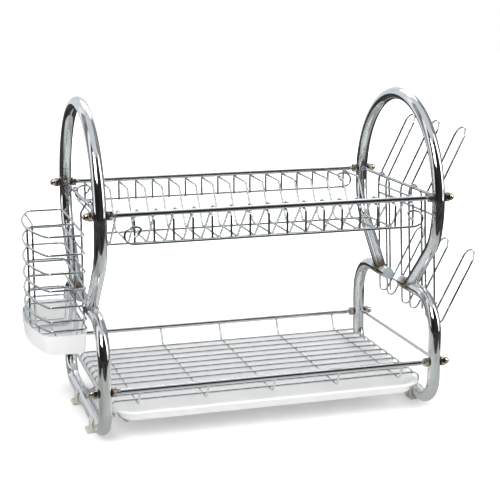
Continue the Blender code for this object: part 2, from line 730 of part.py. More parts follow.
def floor_lean(z):
    """How far the floor wires have leaned in at this height, to match the draft of the cup."""
    return CUP_DRAFT * (BASKET_RING_Z[-1] - z) / CUP_H


def basket_floor_wire(end, y):
    step = RING_WIRE_R + BASKET_FLOOR_WIRE_R - BITE
    inner = BASKET_IN + step
    outer = bow(y, BASKET_SIDE, BASKET_BOW, BASKET_HALF) + step
    top = BASKET_RING_Z[-1] + RING_WIRE_R
    lean = floor_lean(BASKET_FLOOR_Z)
    points = [(inner, top), (inner + lean, BASKET_FLOOR_Z), (outer - lean, BASKET_FLOOR_Z), (outer, top)]
    points = [outward(end, u, y, z) for u, z in points]
    return tube(rounded(points, SMALL_BEND_R, steps=SMALL_BEND_STEPS), BASKET_FLOOR_WIRE_R)


def partition(end):
    """A closed wire loop across the basket, with bars."""
    step = RING_WIRE_R + PARTITION_WIRE_R - BITE
    inner, outer = BASKET_IN + step, bow(PARTITION_Y, BASKET_SIDE, BASKET_BOW, BASKET_HALF) - step
    top, knee, bottom = BASKET_RING_Z[0], BASKET_RING_Z[-1], BASKET_FLOOR_Z + PARTITION_LIFT
    lean = floor_lean(bottom)
    corners = [(inner, top), (outer, top), (outer, knee)]
    corners += [(outer - lean, bottom), (inner + lean, bottom), (inner, knee)]
    corners = [outward(end, u, PARTITION_Y, z) for u, z in corners]
    frame = rounded(corners, PARTITION_BEND_R, steps=SMALL_BEND_STEPS, closed=True)
    bars = []
    for index in range(PARTITION_BAR_COUNT):
        drop = (PARTITION_BAR_LOW_DROP - PARTITION_BAR_TOP_DROP) * index / (PARTITION_BAR_COUNT - 1)
        z = top - PARTITION_BAR_TOP_DROP - drop
        y = PARTITION_Y + 2 * PARTITION_WIRE_R - BITE
        bars.append(tube([outward(end, inner, y, z), outward(end, outer, y, z)], PARTITION_WIRE_R))
    return tube(frame, PARTITION_WIRE_R, closed=True), bars


def chord_wire(end):
    """From the rear side of the top ring forwards, down into the basket and across its floor."""
    step = RING_WIRE_R + PARTITION_WIRE_R - BITE
    top = BASKET_RING_Z[0] - step
    floor = BASKET_FLOOR_Z + CHORD_LIFT
    inner = BASKET_IN + step
    points = [(CHORD_X, CHORD_REAR_Y, top), (CHORD_X, CHORD_Y, top), (CHORD_X, CHORD_Y, floor)]
    points += [(inner + floor_lean(floor), CHORD_Y, floor), (inner, CHORD_Y, BASKET_RING_Z[-1])]
    path = rounded([outward(end, *point) for point in points], SMALL_BEND_R, SMALL_BEND_STEPS)
    return tube(path, PARTITION_WIRE_R)


def cutlery_basket(end="left"):
    rings = [basket_ring(end, z) for z in BASKET_RING_Z]
    ys = [BASKET_HALF * share for share in BASKET_FLOOR_Y_SHARES]
    hanger_u = BASKET_IN - RING_WIRE_R - HOOK_WIRE_R + BITE
    hanger = double_hanger(end, hanger_u, hanger_u, BASKET_RING_Z[-1] - RING_WIRE_R)
    loop, bars = partition(end)
    uprights = [basket_floor_wire(end, y) for y in ys] + [hanger, loop, chord_wire(end)]
    length_y = FLOOR_BAR_HALF_SHARE * BASKET_HALF
    floor_z = BASKET_FLOOR_Z + BASKET_FLOOR_WIRE_R + PARTITION_WIRE_R - BITE
    floor_bar = [outward(end, FLOOR_BAR_X, side * length_y, floor_z) for side in SIDES.values()]
    body = welded(rings, uprights, bars + [tube(floor_bar, PARTITION_WIRE_R)])
    finish(body, "cutlery_basket", "chrome", origin=outward(end, 0, 0, UPPER_ROD_Z))


def cutlery_cup(end="left"):
    """An open cup that grips the basket's floor wires."""
    seat = BASKET_FLOOR_WIRE_R + RING_WIRE_R + BASKET_FLOOR_WIRE_R - BITE + GAP
    inner = BASKET_IN + RING_WIRE_R - BITE - GAP
    loops = [
        (CUP_WALL - CUP_DRAFT, CUP_BOTTOM_Z),
        (CUP_WALL, CUP_RIM_Z),
        (0, CUP_RIM_Z),
        (-CUP_DRAFT, CUP_BOTTOM_Z + CUP_WALL),
    ]
    plans = [
        basket_plan(
            end,
            z,
            inner - grow,
            BASKET_SIDE + seat + grow,
            BASKET_BOW + seat + grow,
            BASKET_HALF + CUP_SIDE_GROW + grow,
            CUP_CORNER_R + grow,
        )
        for grow, z in loops
    ]
    origin = outward(end, (BASKET_IN + BASKET_BOW) / 2, 0, CUP_RIM_Z)
    finish(lofted(plans), "cutlery_drip_cup", "white plastic", origin=origin)


def loop_u(z):
    """How far out the upright stretch of the loops lies at this height."""
    share = (LOOP_ELBOW_Z - z) / (LOOP_ELBOW_Z - LOOP_FOOT_Z)
    return LOOP_ELBOW_X + share * (LOOP_FOOT_X - LOOP_ELBOW_X)


def holder_loop(end, y):
    """A closed wire: out to the upper tip, down, round the bend and out to the lower tip."""
    centre = (LOOP_FOOT_X + LOOP_J_R, LOOP_FOOT_Z)
    bend = arc(centre, LOOP_J_R, math.pi, 2 * math.pi - (math.pi / 2 - LOOP_ARM_ANGLE), LOOP_J_STEPS)
    reach = LOOP_ARM_LENGTH - LOOP_HALF
    low = (bend[-1][0] + reach * math.cos(LOOP_ARM_ANGLE), bend[-1][1] + reach * math.sin(LOOP_ARM_ANGLE))
    rise = Vector((LOOP_TIP_X - LOOP_ELBOW_X, LOOP_TIP_Z - LOOP_ELBOW_Z)).normalized()
    high = (LOOP_TIP_X - LOOP_HALF * rise.x, LOOP_TIP_Z - LOOP_HALF * rise.y)
    elbow = (LOOP_ELBOW_X, LOOP_ELBOW_Z)
    side = rounded([(*high, 0), (*elbow, 0), (*bend[0], 0)], LOOP_ELBOW_R, LOOP_ELBOW_STEPS)[:-1]
    side = [(point.x, point.y) for point in side] + bend + [low]
    front = [outward(end, u, y - LOOP_HALF, z) for u, z in side]
    rear = [outward(end, u, y + LOOP_HALF, z) for u, z in reversed(side)]
    arm = Vector((math.cos(LOOP_ARM_ANGLE), math.sin(LOOP_ARM_ANGLE)))
    return front + loop_tip(end, y, low, arm, -1) + rear + loop_tip(end, y, high, rise, 1)


def loop_tip(end, y, start, heading, side):
    """The inner points of the half circle that joins the two wires of a loop."""
    points = arc((0, 0), LOOP_HALF, side * math.pi / 2, -side * math.pi / 2, LOOP_TIP_STEPS)[1:-1]
    return [outward(end, start[0] + u * heading.x, y + v, start[1] + u * heading.y) for u, v in points]


def board_holder(end="right"):
    middle = (LOOP_COUNT - 1) / 2
    pitch = (UPPER_ROD_Y - LOOP_SIDE_IN) / middle
    ys = [pitch * (index - middle) for index in range(LOOP_COUNT)]
    loops = [tube(holder_loop(end, y), LOOP_R, closed=True) for y in ys]
    half = ys[-1] + LOOP_HALF + LOOP_R
    step = LOOP_R + LOOP_CROSS_R - BITE
    crosses = [
        tube([outward(end, loop_u(z) + step, -half, z), outward(end, loop_u(z) + step, half, z)], LOOP_CROSS_R)
        for z in [UPPER_ROD_Z - drop for drop in LOOP_CROSS_DROPS]
    ]
    hanger = double_hanger(end, loop_u(HOOK_KNEE_Z), loop_u(LOOP_HANGER_END_Z), LOOP_HANGER_END_Z)
    body = welded(loops + [hanger], crosses)
    finish(body, "board_and_cup_holder", "chrome", origin=outward(end, 0, 0, UPPER_ROD_Z))


def build():
    clear_scene()
    for end in ENDS:
        ring_tube(end)
        lower_tube(end)
        tray_rail(end)
        for side in SIDES:
            end_cap(end, side)
            foot(end, side)
        for tier in TIERS:
            end_bar(end, tier)
            for side in SIDES:
                hex_nut(end, tier, side)
                domed_nut(end, tier, side)
                for face in FACES:
                    washer(end, tier, side, face)
    plate_rack()
    dish_basket()
    drip_tray()
    cutlery_basket()
    cutlery_cup()
    board_holder()


build()
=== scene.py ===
import math

import bmesh
import bpy
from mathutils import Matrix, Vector


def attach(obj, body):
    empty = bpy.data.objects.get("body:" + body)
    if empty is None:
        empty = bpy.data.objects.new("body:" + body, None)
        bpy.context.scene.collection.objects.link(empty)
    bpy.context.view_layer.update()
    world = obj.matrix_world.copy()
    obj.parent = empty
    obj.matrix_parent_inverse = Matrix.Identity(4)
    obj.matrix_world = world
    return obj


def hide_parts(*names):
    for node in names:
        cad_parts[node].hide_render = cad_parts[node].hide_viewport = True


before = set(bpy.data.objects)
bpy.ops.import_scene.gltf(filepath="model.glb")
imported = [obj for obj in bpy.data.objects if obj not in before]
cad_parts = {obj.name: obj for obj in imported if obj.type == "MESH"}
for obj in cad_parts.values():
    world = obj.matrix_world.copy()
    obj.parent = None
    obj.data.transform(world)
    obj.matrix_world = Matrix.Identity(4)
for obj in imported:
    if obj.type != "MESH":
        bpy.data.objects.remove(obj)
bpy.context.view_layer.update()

MM = 0.001
ENDS = {"left": -1, "right": 1}
TIERS = ("upper", "lower")
DEPTHS = ("front", "rear")
SIDES = (-1, 1)

# Camera and studio
VIEW_AZIMUTH = math.radians(-17)
VIEW_ELEVATION = math.radians(12.5)
VIEW_DISTANCE = 1.55
VIEW_ANGLE = math.radians(22.4)
VIEW_TARGET = Vector((0.006, 0, 0.186))
AMBIENT = 0.78
ROOM_RADIUS = 2.4
ROOM_TOP = 4.2
WALL_STEPS = 48
TABLE_HALF = (0.46, 0.37)
FLOOR_HALF = (6, 6)
FLOOR_LIFT = 0.25
FLOOR_FADE = (0.25, 0.8)
PAPER_GREY = (0.9, 0.9, 0.9)
PAPER_PALE = (0.92, 0.92, 0.92)

# Fineness of round shapes
TUBE_SIDES = 48
RING_STEPS = 96
ROD_SIDES = 24
WIRE_SIDES = 16
DIVIDER_SIDES = 12
LOOP_SIDES = 20
NUT_SIDES = 48
WASHER_SIDES = 40
THREAD_SIDES = 20
PLUG_SIDES = 36
BEND_STEPS = 7
SHARP = math.radians(35)
SHARP_FASTENER = math.radians(28)
SHARP_MOULDING = math.radians(50)

# Side frames
FRAME_X = 200 * MM
TUBE_R = 7.5 * MM
BASE_Z = 10.5 * MM
RING_Z = 252 * MM
RING_R = 120.5 * MM
RING_DROP = math.radians(15)
RING_CORNER_R = 50 * MM
RING_FOOT_Y = 45 * MM
LEG_ANGLE = math.radians(45)
LOWER_Y = 122 * MM
LOWER_TOP_Z = 138 * MM
LOWER_SHOULDER_R = 45 * MM
LOWER_CORNER_R = 32 * MM
LOWER_END_Y = 22 * MM
PLUG_BULGE = 3.8 * MM

# Welds
BITE = 0.8 * MM
BEAD_R = 1.5 * MM
BEAD_STEPS = 64
BEAD_SPACING = 1.7 * MM
WELD_SPREAD = (0.82, 1.14)
BAR_WELD_R = 2.3 * MM
RAIL_WELD_R = 2.1 * MM
RACK_WELD_R = 1.45 * MM
BASKET_WELD_R = 1.4 * MM
HOLDER_WELD_R = 1.5 * MM
HEAT_REACH = (9 * MM, 21 * MM)
HEAT_DARK = (0.06, 0.04, 0.03)
HEAT_PALE = (0.34, 0.27, 0.2)

# Rods, nuts and washers
UPPER_ROD_Z = 262 * MM
UPPER_ROD_Y = math.sqrt(RING_R**2 - (UPPER_ROD_Z - RING_Z) ** 2)
LOWER_ROD_Z = 62 * MM
ROD_R = 3 * MM
THREAD_R = 2.4 * MM
THREAD_DEPTH = 0.25 * MM
THREAD_PITCH = 1 * MM
NECK = 4.2 * MM
WASHER_SEAT = TUBE_R + 0.05 * MM
WASHER_R = 4.8 * MM
NUT_SEAT = TUBE_R + 1 * MM
NUT_FLATS = 10 * MM
NUT_H = 4.9 * MM
NUT_COLLAR_R = 5.5 * MM
NUT_COLLAR_H = 0.8 * MM
NUT_CHAMFER = math.radians(32)
DOME_R = 4.6 * MM
DOME_H = 5.9 * MM
END_BAR_R = 2 * MM
END_BAR_BITE = 0.5 * MM
LOWER_BAR_OUT = 5 * MM

# Feet
FOOT_PLACES = (-70 * MM, 32 * MM)
FOOT_W = 17 * MM
FOOT_INNER = TUBE_R + 0.3 * MM
FOOT_OUTER = FOOT_INNER + 1.5 * MM
FOOT_ARM_RISE = math.radians(35)
FOOT_TOE = FOOT_OUTER + 4.7 * MM
FOOT_TOE_H = 3.5 * MM
FOOT_CORNERS = [1.2 * MM, 1 * MM, 0.4 * MM, 1 * MM]
FOOT_EDGE = 0.35 * MM

# Upper tier
DIVIDER_COUNT = 17
DIVIDER_END = 175 * MM
DIVIDER_R = 1.3 * MM
LONG_R = 1.4 * MM
LONG_SPARE = 4 * MM
TROUGH_Z = 213 * MM
TROUGH_HALF = 39 * MM
TROUGH_REAR_Y = UPPER_ROD_Y - 50 * MM
TROUGH_FRONT_Y = UPPER_ROD_Y - 32 * MM
TROUGH_FRONT_Z = 261 * MM
TROUGH_BEND = 6 * MM
FENCE_Y = UPPER_ROD_Y + 4 * MM
FENCE_Z = 236 * MM
HANGER_Y = UPPER_ROD_Y + 8 * MM
HANGER_Z = 231 * MM
SMALL_BEND = 3 * MM
SCROLL_H = 19 * MM
SCROLL_REACH = 11.5 * MM
SCROLL_LEAF = 6 * MM
SCROLL_START = math.radians(128)

# Lower tier
DECK_COUNT = 11
DECK_HALF = 99 * MM
DECK_Z = 43 * MM
CURL_R = 7.5 * MM
CURL_OUT = 9.5 * MM
CURL_END = math.radians(-75)
CURL_WIRE = CURL_END + math.radians(8)
CROSS_COUNT = 5
CROSS_END = 160 * MM
CROSS_HALF = 111 * MM

# Drip tray and its rails
TRAY_RIM_Z = 36.4 * MM
TRAY_BOTTOM_Z = 22.8 * MM
TRAY_WALL = 1.5 * MM
TRAY_HALF_X = 182.8 * MM
TRAY_HALF_Y = 119 * MM
TRAY_CORNER = 22 * MM
TRAY_LIP = 5.6 * MM
RAIL_R = 2 * MM
RAIL_Z = 20.5 * MM
RAIL_IN = 24 * MM
RAIL_END_IN = 28 * MM
RAIL_BEND_Y = 86 * MM
RAIL_END_Y = 104 * MM
RAIL_BEND_R = 12 * MM
RAIL_ARM_R = 1.6 * MM
RAIL_ARM_Y = 45 * MM
RAIL_ARM_BITE = 0.6 * MM

# Hooks over the end bars
HOOK_Y = 50 * MM
HOOK_R = 1.3 * MM
HOOK_GAP = 0.3 * MM
HOOK_LEAN = 1.9 * MM
HOOK_KNEE_Z = 254 * MM
HOOK_BACK_Z = 251 * MM
HOOK_BENDS = [4 * MM, 2.2 * MM, 2.2 * MM, 4 * MM]

# Cutlery basket and cup
RING_WIRE_R = 1.4 * MM
BASKET_TOP_Z = 234 * MM
BASKET_H = 108 * MM
LEVEL_SHARES = (0, 0.194, 0.389, 0.569, 0.745, 0.898, 1)
BASKET_LEVELS = [BASKET_TOP_Z - BASKET_H * share for share in LEVEL_SHARES]
BASKET_IN = 11.1 * MM
BASKET_SIDE = 53 * MM
BASKET_BOW = 68.5 * MM
BASKET_HALF = 82 * MM
BASKET_CORNER = 6 * MM
BOW_SHARE = 0.9
BOW_STEPS = 10
FLOOR_Z = 101 * MM
FLOOR_R = 1 * MM
FLOOR_Y_SHARES = (-0.72, -0.36, 0.36, 0.72)
FLOOR_RAIL_OUT = 38 * MM
FLOOR_RAIL_SHARE = 0.8
PARTITION_Y = -15 * MM
PARTITION_R = 1.3 * MM
PARTITION_CORNER = 5 * MM
PARTITION_RISE = 4 * MM
BAR_COUNT = 4
BAR_TOP_Z = 192 * MM
BAR_PITCH = 50 / 3 * MM
CHORD_OUT = 57 * MM
CHORD_Y = 11 * MM
CHORD_REAR_Y = 71 * MM
CHORD_RISE = 7 * MM
CUP_WALL = 1.2 * MM
CUP_RIM_Z = 121 * MM
CUP_BOTTOM_Z = 98 * MM
CUP_DRAFT = 2 * MM
CUP_CORNER = 10 * MM
CUP_GAP = 0.3 * MM

# Board and cup holder
LOOP_COUNT = 3
LOOP_PITCH = UPPER_ROD_Y - 47 * MM
LOOP_HALF = 12.5 * MM
LOOP_R = 1.3 * MM
LOOP_ELBOW = (10.3 * MM, 252 * MM)
LOOP_ELBOW_R = 22 * MM
LOOP_TIP = (52 * MM, 337 * MM)
LOOP_TIP_STEPS = 16
LOOP_FOOT = (16 * MM, 105 * MM)
LOOP_J_R = 6 * MM
LOOP_ARM_ANGLE = math.radians(62.5)
LOOP_ARM = 93 * MM
LOOP_CROSS_LEVELS = (233 * MM, 124 * MM)
LOOP_HANGER_Z = 108 * MM


# Finishes
def shader_tree(name):
    made = bpy.data.materials.new(name)
    made.use_nodes = True
    tree = made.node_tree
    shader = tree.nodes["Principled BSDF"]
    return made, tree, shader, tree.nodes.new("ShaderNodeTexCoord").outputs["Object"]


def fill(tree, node, sockets):
    """Sets each socket of the node, or links it where the value is another node's output."""
    for label, value in sockets.items():
        if isinstance(value, bpy.types.NodeSocket):
            tree.links.new(value, node.inputs[label])
        else:
            node.inputs[label].default_value = value


def added(tree, kind, sockets):
    made = tree.nodes.new(f"ShaderNode{kind}")
    fill(tree, made, sockets)
    return made.outputs


def reckoned(tree, kind, operation, *values):
    """What a Math or Vector Math node makes of the values."""
    made = tree.nodes.new(f"ShaderNode{kind}")
    made.operation = operation
    fill(tree, made, dict(enumerate(values)))
    return next(item for item in made.outputs if item.enabled)


def cloud(tree, place, scale, detail=3.0, stretch=(1, 1, 1)):
    """A soft noise value, stretched along the axes where the numbers are small."""
    vector = added(tree, "Mapping", {"Scale": stretch, "Vector": place})["Vector"]
    sockets = {"Scale": scale, "Detail": detail, "Vector": vector}
    return added(tree, "TexNoise", sockets)["Fac"]


def spread(tree, value, low, high, start=0.35, end=0.65):
    """The value from start to end, laid out from low to high."""
    sockets = {"From Min": start, "From Max": end, "To Min": low, "To Max": high, "Value": value}
    return added(tree, "MapRange", sockets)["Result"]


def tinted(tree, value, first, second):
    """A colour between the two, by the value."""
    made = tree.nodes.new("ShaderNodeMix")
    made.data_type = "RGBA"
    ends = [(*colour, 1) if isinstance(colour, tuple) else colour for colour in (first, second)]
    fill(tree, made, {"Factor": value, 6: ends[0], 7: ends[1]})
    return made.outputs[2]


def relief(tree, shader, heights):
    """Chains bumps, given as (height value, strength, depth)."""
    before = {}
    for height, strength, depth in heights:
        sockets = {"Strength": strength, "Distance": depth, "Height": height, **before}
        before = {"Normal": added(tree, "Bump", sockets)["Normal"]}
    fill(tree, shader, before)


def near(tree, place, spot, start, end):
    """1 at the spot and its mirror images, falling to 0 at the end distance."""
    folded = reckoned(tree, "VectorMath", "ABSOLUTE", place)
    return spread(tree, reckoned(tree, "VectorMath", "DISTANCE", folded, spot), 1, 0, start, end)


def plated(name, dark, bright, smooth, dull, wave, weld_spot=None):
    """Polished plating: a slightly wavy mirror with hazy patches and fine polishing marks."""
    made, tree, shader, place = shader_tree(name)
    colour = tinted(tree, cloud(tree, place, scale=35), dark, bright)
    if weld_spot:
        brown = tinted(tree, cloud(tree, place, scale=260), HEAT_DARK, HEAT_PALE)
        colour = tinted(tree, near(tree, place, weld_spot, *HEAT_REACH), colour, brown)
    haze = spread(tree, cloud(tree, place, scale=90, detail=4), smooth, dull)
    fill(tree, shader, {"Base Color": colour, "Metallic": 1, "Roughness": haze})
    marks = cloud(tree, place, scale=700, detail=2, stretch=(1, 1, 0.15))
    waves = cloud(tree, place, scale=14, detail=1)
    relief(tree, shader, [(waves, wave, 2 * MM), (marks, 0.03, 0.05 * MM)])
    return made


def nickel():
    """Warm nickel on the nuts, with dark handling marks."""
    made, tree, shader, place = shader_tree("nut_nickel")
    warm = tinted(tree, cloud(tree, place, scale=120), (0.55, 0.47, 0.37), (0.84, 0.77, 0.67))
    marks = spread(tree, cloud(tree, place, scale=420, detail=4), 0, 1, start=0.52, end=0.66)
    colour = tinted(tree, marks, warm, (0.17, 0.13, 0.10))
    haze = spread(tree, cloud(tree, place, scale=300), 0.1, 0.26)
    fill(tree, shader, {"Base Color": colour, "Metallic": 1, "Roughness": haze})
    relief(tree, shader, [(cloud(tree, place, scale=500), 0.06, 0.1 * MM)])
    return made


def plastic(name, first, second, rough, grain, glow=0.0):
    """Moulded plastic, or the near-black finish that paints shade on the washers. glow is how much
    light spreads inside it.
    """
    made, tree, shader, place = shader_tree(name)
    fill(tree, shader, {
        "Base Color": tinted(tree, cloud(tree, place, scale=9, detail=1), first, second),
        "Roughness": spread(tree, cloud(tree, place, scale=160), rough, rough + 0.1),
        "IOR": 1.5,
        "Subsurface Weight": glow,
        "Subsurface Radius": (1, 1, 1),
        "Subsurface Scale": 4 * MM,
    })
    relief(tree, shader, [(cloud(tree, place, scale=900, detail=2), grain, 0.02 * MM)])
    return made


WELD_SPOT = (FRAME_X, RING_FOOT_Y, LOWER_TOP_Z)
TUBE_CHROME = plated(
    "tube_chrome", (0.74, 0.76, 0.79), (0.86, 0.87, 0.88),
    smooth=0.03, dull=0.09, wave=0.1, weld_spot=WELD_SPOT)
WIRE_CHROME = plated(
    "wire_chrome", (0.62, 0.64, 0.66), (0.78, 0.8, 0.81), smooth=0.06, dull=0.16, wave=0.05)
WELD_METAL = plated(
    "weld_chrome", (0.5, 0.48, 0.45), (0.72, 0.71, 0.69),
    smooth=0.16, dull=0.32, wave=0.2, weld_spot=WELD_SPOT)
NUT_NICKEL = nickel()
THREAD_STEEL = plated(
    "thread_steel", (0.45, 0.46, 0.48), (0.68, 0.68, 0.69), smooth=0.2, dull=0.34, wave=0.1)
# Washers: near-black painted shade, standing for the shaded gap between each tube and its nut.
WASHER_PAINTED_SHADE = plastic(
    "washer_rubber", (0.018, 0.016, 0.015), (0.04, 0.034, 0.03), rough=0.5, grain=0.2)
PLUG_PLASTIC = plastic(
    "plug_plastic", (0.33, 0.38, 0.41), (0.47, 0.52, 0.55), rough=0.3, grain=0.12)
# Feet: beige plastic, its base colour darkened to grey as painted shade for the shade under the
# drainer.
SHADED_FOOT_PLASTIC = plastic(
    "foot_plastic", (0.56, 0.545, 0.49), (0.65, 0.64, 0.59), rough=0.3, grain=0.08, glow=0.5)
TRAY_PLASTIC = plastic(
    "tray_plastic", (0.92, 0.918, 0.908), (0.95, 0.95, 0.945), rough=0.34, grain=0.004, glow=0.7)
CUP_PLASTIC = plastic(
    "cup_plastic", (0.94, 0.944, 0.944), (0.965, 0.968, 0.97), rough=0.28, grain=0.012, glow=0.9)


# Paths and shapes
def rounded(points, radius, steps=BEND_STEPS, closed=False):
    """The line with an arc at every corner. radius may be a list, one for each corner."""
    points = [Vector(point) for point in points]
    count = len(points)
    corners = range(count) if closed else range(1, count - 1)
    each = radius if isinstance(radius, list) else [radius] * count
    radii = dict(zip(corners, each))
    line = []
    for index, corner in enumerate(points):
        size = radii.get(index)
        if size is None:
            line.append(corner)
            continue
        before = (points[index - 1] - corner).normalized()
        after = (points[(index + 1) % count] - corner).normalized()
        half = before.angle(after) / 2
        if math.pi / 2 - half < 0.001:
            continue
        centre = corner + (before + after).normalized() * (size / math.sin(half))
        start = corner + before * (size / math.tan(half)) - centre
        end = corner + after * (size / math.tan(half)) - centre
        turn = start.angle(end)
        for step in range(steps + 1):
            share = step / steps
            reach = math.sin((1 - share) * turn) * start + math.sin(share * turn) * end
            line.append(centre + reach / math.sin(turn))
    return line


def arc(centre, radius, start, end, steps):
    turns = [start + (end - start) * step / steps for step in range(steps + 1)]
    x, y = centre
    return [(x + radius * math.cos(turn), y + radius * math.sin(turn)) for turn in turns]


def edge_paths(paths, closed=False):
    """A mesh of bare edges, one run of them for each path."""
    points, edges = [], []
    for path in paths:
        first = len(points)
        points += [tuple(point) for point in path]
        edges += [(first + index, first + index + 1) for index in range(len(path) - 1)]
        if closed:
            edges.append((first + len(path) - 1, first))
    mesh = bpy.data.meshes.new("path")
    mesh.from_pydata(points, edges, [])
    return mesh


def shell(loops, closed=False):
    """Faces between loops of equally many points. Its ends are capped, or joined if closed."""
    work = bmesh.new()
    layers = [[work.verts.new(point) for point in loop] for loop in loops]
    pairs = list(zip(layers, layers[1:])) + ([(layers[-1], layers[0])] if closed else [])
    for lower, upper in pairs:
        for index in range(len(lower)):
            after = (index + 1) % len(lower)
            work.faces.new((lower[index], lower[after], upper[after], upper[index]))
    if not closed:
        work.faces.new(layers[0])
        work.faces.new(layers[-1])
    bmesh.ops.recalc_face_normals(work, faces=work.faces)
    mesh = bpy.data.meshes.new("shell")
    work.to_mesh(mesh)
    work.free()
    return mesh


def turned(profile, sides, radius_at=lambda index, radius, turn: radius):
    """Loops round X. profile lists (x, radius), and radius_at may change a radius by the angle."""
    turns = [math.tau * side / sides for side in range(sides)]
    loops = []
    for index, (x, radius) in enumerate(profile):
        reach = [(radius_at(index, radius, turn), turn) for turn in turns]
        loops.append([(x, r * math.cos(turn), r * math.sin(turn)) for r, turn in reach])
    return loops


def wall_profile(parts):
    """(grow, height) round a moulded wall. Each part is a corner, and points off it in mm."""
    return [(u + grow * MM, z + rise * MM) for u, z, points in parts for grow, rise in points]


def placed(name, data):
    obj = bpy.data.objects.new(name, data)
    bpy.context.scene.collection.objects.link(obj)
    return obj


# Geometry Nodes
class Tree:
    """A node tree with named inputs, and short ways to add and link its nodes."""

    def __init__(self, name, sizes):
        self.tree = bpy.data.node_groups.new(name, "GeometryNodeTree")
        for label, kind in [("Geometry", "Geometry"), *sizes, ("Finish", "Material")]:
            self.tree.interface.new_socket(label, in_out="INPUT", socket_type=f"NodeSocket{kind}")
        self.tree.interface.new_socket(
            "Geometry", in_out="OUTPUT", socket_type="NodeSocketGeometry")
        self.inputs = self.tree.nodes.new("NodeGroupInput").outputs

    def add(self, kind, settings=None, **links):
        """links gives each input, by its name with _ for a space, a value or a node's output."""
        made = self.tree.nodes.new(kind)
        for key, value in (settings or {}).items():
            setattr(made, key, value)
        for key, value in links.items():
            label = key.strip("_").replace("_", " ")
            socket = next(item for item in made.inputs if item.enabled and item.name == label)
            if isinstance(value, bpy.types.NodeSocket):
                self.tree.links.new(value, socket)
            else:
                socket.default_value = value
        return next(item for item in made.outputs if item.enabled)

    def end(self, **instances):
        """Puts the instance on the points, and ends in Realize Instances and Set Material."""
        geometry = self.add("GeometryNodeInstanceOnPoints", **instances)
        real = self.add("GeometryNodeRealizeInstances", Geometry=geometry)
        smooth = self.add("GeometryNodeSetShadeSmooth", Geometry=real)
        finish = self.inputs["Finish"]
        done = self.add("GeometryNodeSetMaterial", Geometry=smooth, Material=finish)
        self.tree.links.new(done, self.tree.nodes.new("NodeGroupOutput").inputs["Geometry"])
        return self.tree


def wire_row_tree():
    """Sweeps the edge paths as wires and repeats them along a straight row."""
    sizes = [("Copies", "Int"), ("Step", "Vector"), ("Wire Radius", "Float"), ("Sides", "Int")]
    made = Tree("wire_row", sizes)
    given = made.inputs
    path = made.add("GeometryNodeMeshToCurve", Mesh=given["Geometry"])
    section = made.add(
        "GeometryNodeCurvePrimitiveCircle", Resolution=given["Sides"], Radius=given["Wire Radius"])
    swept = made.add("GeometryNodeCurveToMesh", Curve=path, Profile_Curve=section, Fill_Caps=True)
    row = made.add("GeometryNodeMeshLine", Count=given["Copies"], Offset=given["Step"])
    return made.end(Points=row, Instance=swept)


def weld_tree():
    """Sets small weld lumps, no two quite alike, on the points or along the edges."""
    sizes = [("Lump Size", "Float"), ("Spacing", "Float"), ("Along Edges", "Bool"), ("Seed", "Int")]
    made = Tree("weld_lumps", sizes)
    given = made.inputs
    path = made.add("GeometryNodeMeshToCurve", Mesh=given["Geometry"])
    along = made.add(
        "GeometryNodeResampleCurve", {"mode": "LENGTH"}, Curve=path, Length=given["Spacing"])
    single = made.add("GeometryNodeMeshToPoints", Mesh=given["Geometry"])
    places = made.add(
        "GeometryNodeSwitch", {"input_type": "GEOMETRY"},
        Switch=given["Along Edges"], False_=single, True_=along)
    lump = made.add("GeometryNodeMeshIcoSphere", Radius=given["Lump Size"], Subdivisions=2)
    least, most = WELD_SPREAD
    size = made.add(
        "FunctionNodeRandomValue", {"data_type": "FLOAT"}, Min=least, Max=most, Seed=given["Seed"])
    return made.end(Points=places, Instance=lump, Scale=size)


def fastener_tree():
    """Sets one nut, washer or thread on every point, turned by the point's own turn."""
    made = Tree("rod_fasteners", [("Fastener", "Object")])
    given = made.inputs
    shape = made.add("GeometryNodeObjectInfo", Object=given["Fastener"]).node.outputs["Geometry"]
    turn = made.add("GeometryNodeInputNamedAttribute", {"data_type": "FLOAT_VECTOR"}, Name="turn")
    rotation = made.add("FunctionNodeEulerToRotation", Euler=turn)
    points = made.add("GeometryNodeMeshToPoints", Mesh=given["Geometry"])
    return made.end(Points=points, Instance=shape, Rotation=rotation)


def grown(tree, guide_mesh, **values):
    """The mesh that the tree makes on the guide. _ stands for a space in an input's name."""
    guide = placed("guide", guide_mesh)
    step = guide.modifiers.new("grow", "NODES")
    step.node_group = tree
    for item in tree.interface.items_tree:
        key = item.name.replace(" ", "_")
        if item.in_out == "INPUT" and key in values:
            step[item.identifier] = values[key]
    bpy.context.view_layer.update()
    graph = bpy.context.evaluated_depsgraph_get()
    mesh = bpy.data.meshes.new_from_object(guide.evaluated_get(graph), depsgraph=graph)
    bpy.data.objects.remove(guide)
    return mesh


WIRE_ROW = wire_row_tree()
WELD_LUMPS = weld_tree()
FASTENERS = fastener_tree()


def wires(paths, radius, copies=1, step=(0, 0, 0), closed=False, sides=WIRE_SIDES,
          finish=WIRE_CHROME):
    """Round wires along the paths, all of them repeated by the step."""
    return grown(
        WIRE_ROW, edge_paths(paths, closed),
        Copies=copies, Step=step, Wire_Radius=radius, Sides=sides, Finish=finish)


def lumps(points, size, seed, along=False):
    """Weld lumps on the points, or along the closed line through them."""
    runs = [points] if along else [[point] for point in points]
    return grown(
        WELD_LUMPS, edge_paths(runs, closed=along),
        Lump_Size=size, Spacing=BEAD_SPACING, Along_Edges=along, Seed=seed, Finish=WELD_METAL)


def piece(name, body, finish, meshes, replaced=(), sharp=SHARP):
    """One object of the meshes. It rides on the body and stands for the CAD nodes it replaces."""
    work = bmesh.new()
    for mesh in meshes:
        work.from_mesh(mesh)
    mesh = bpy.data.meshes.new(name)
    work.to_mesh(mesh)
    work.free()
    for polygon in mesh.polygons:
        polygon.material_index = 0
    mesh.materials.clear()
    mesh.materials.append(finish)
    mesh.shade_smooth()
    mesh.set_sharp_from_angle(angle=sharp)
    obj = placed(name, mesh)
    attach(obj, body)
    if replaced:
        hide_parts(*replaced)


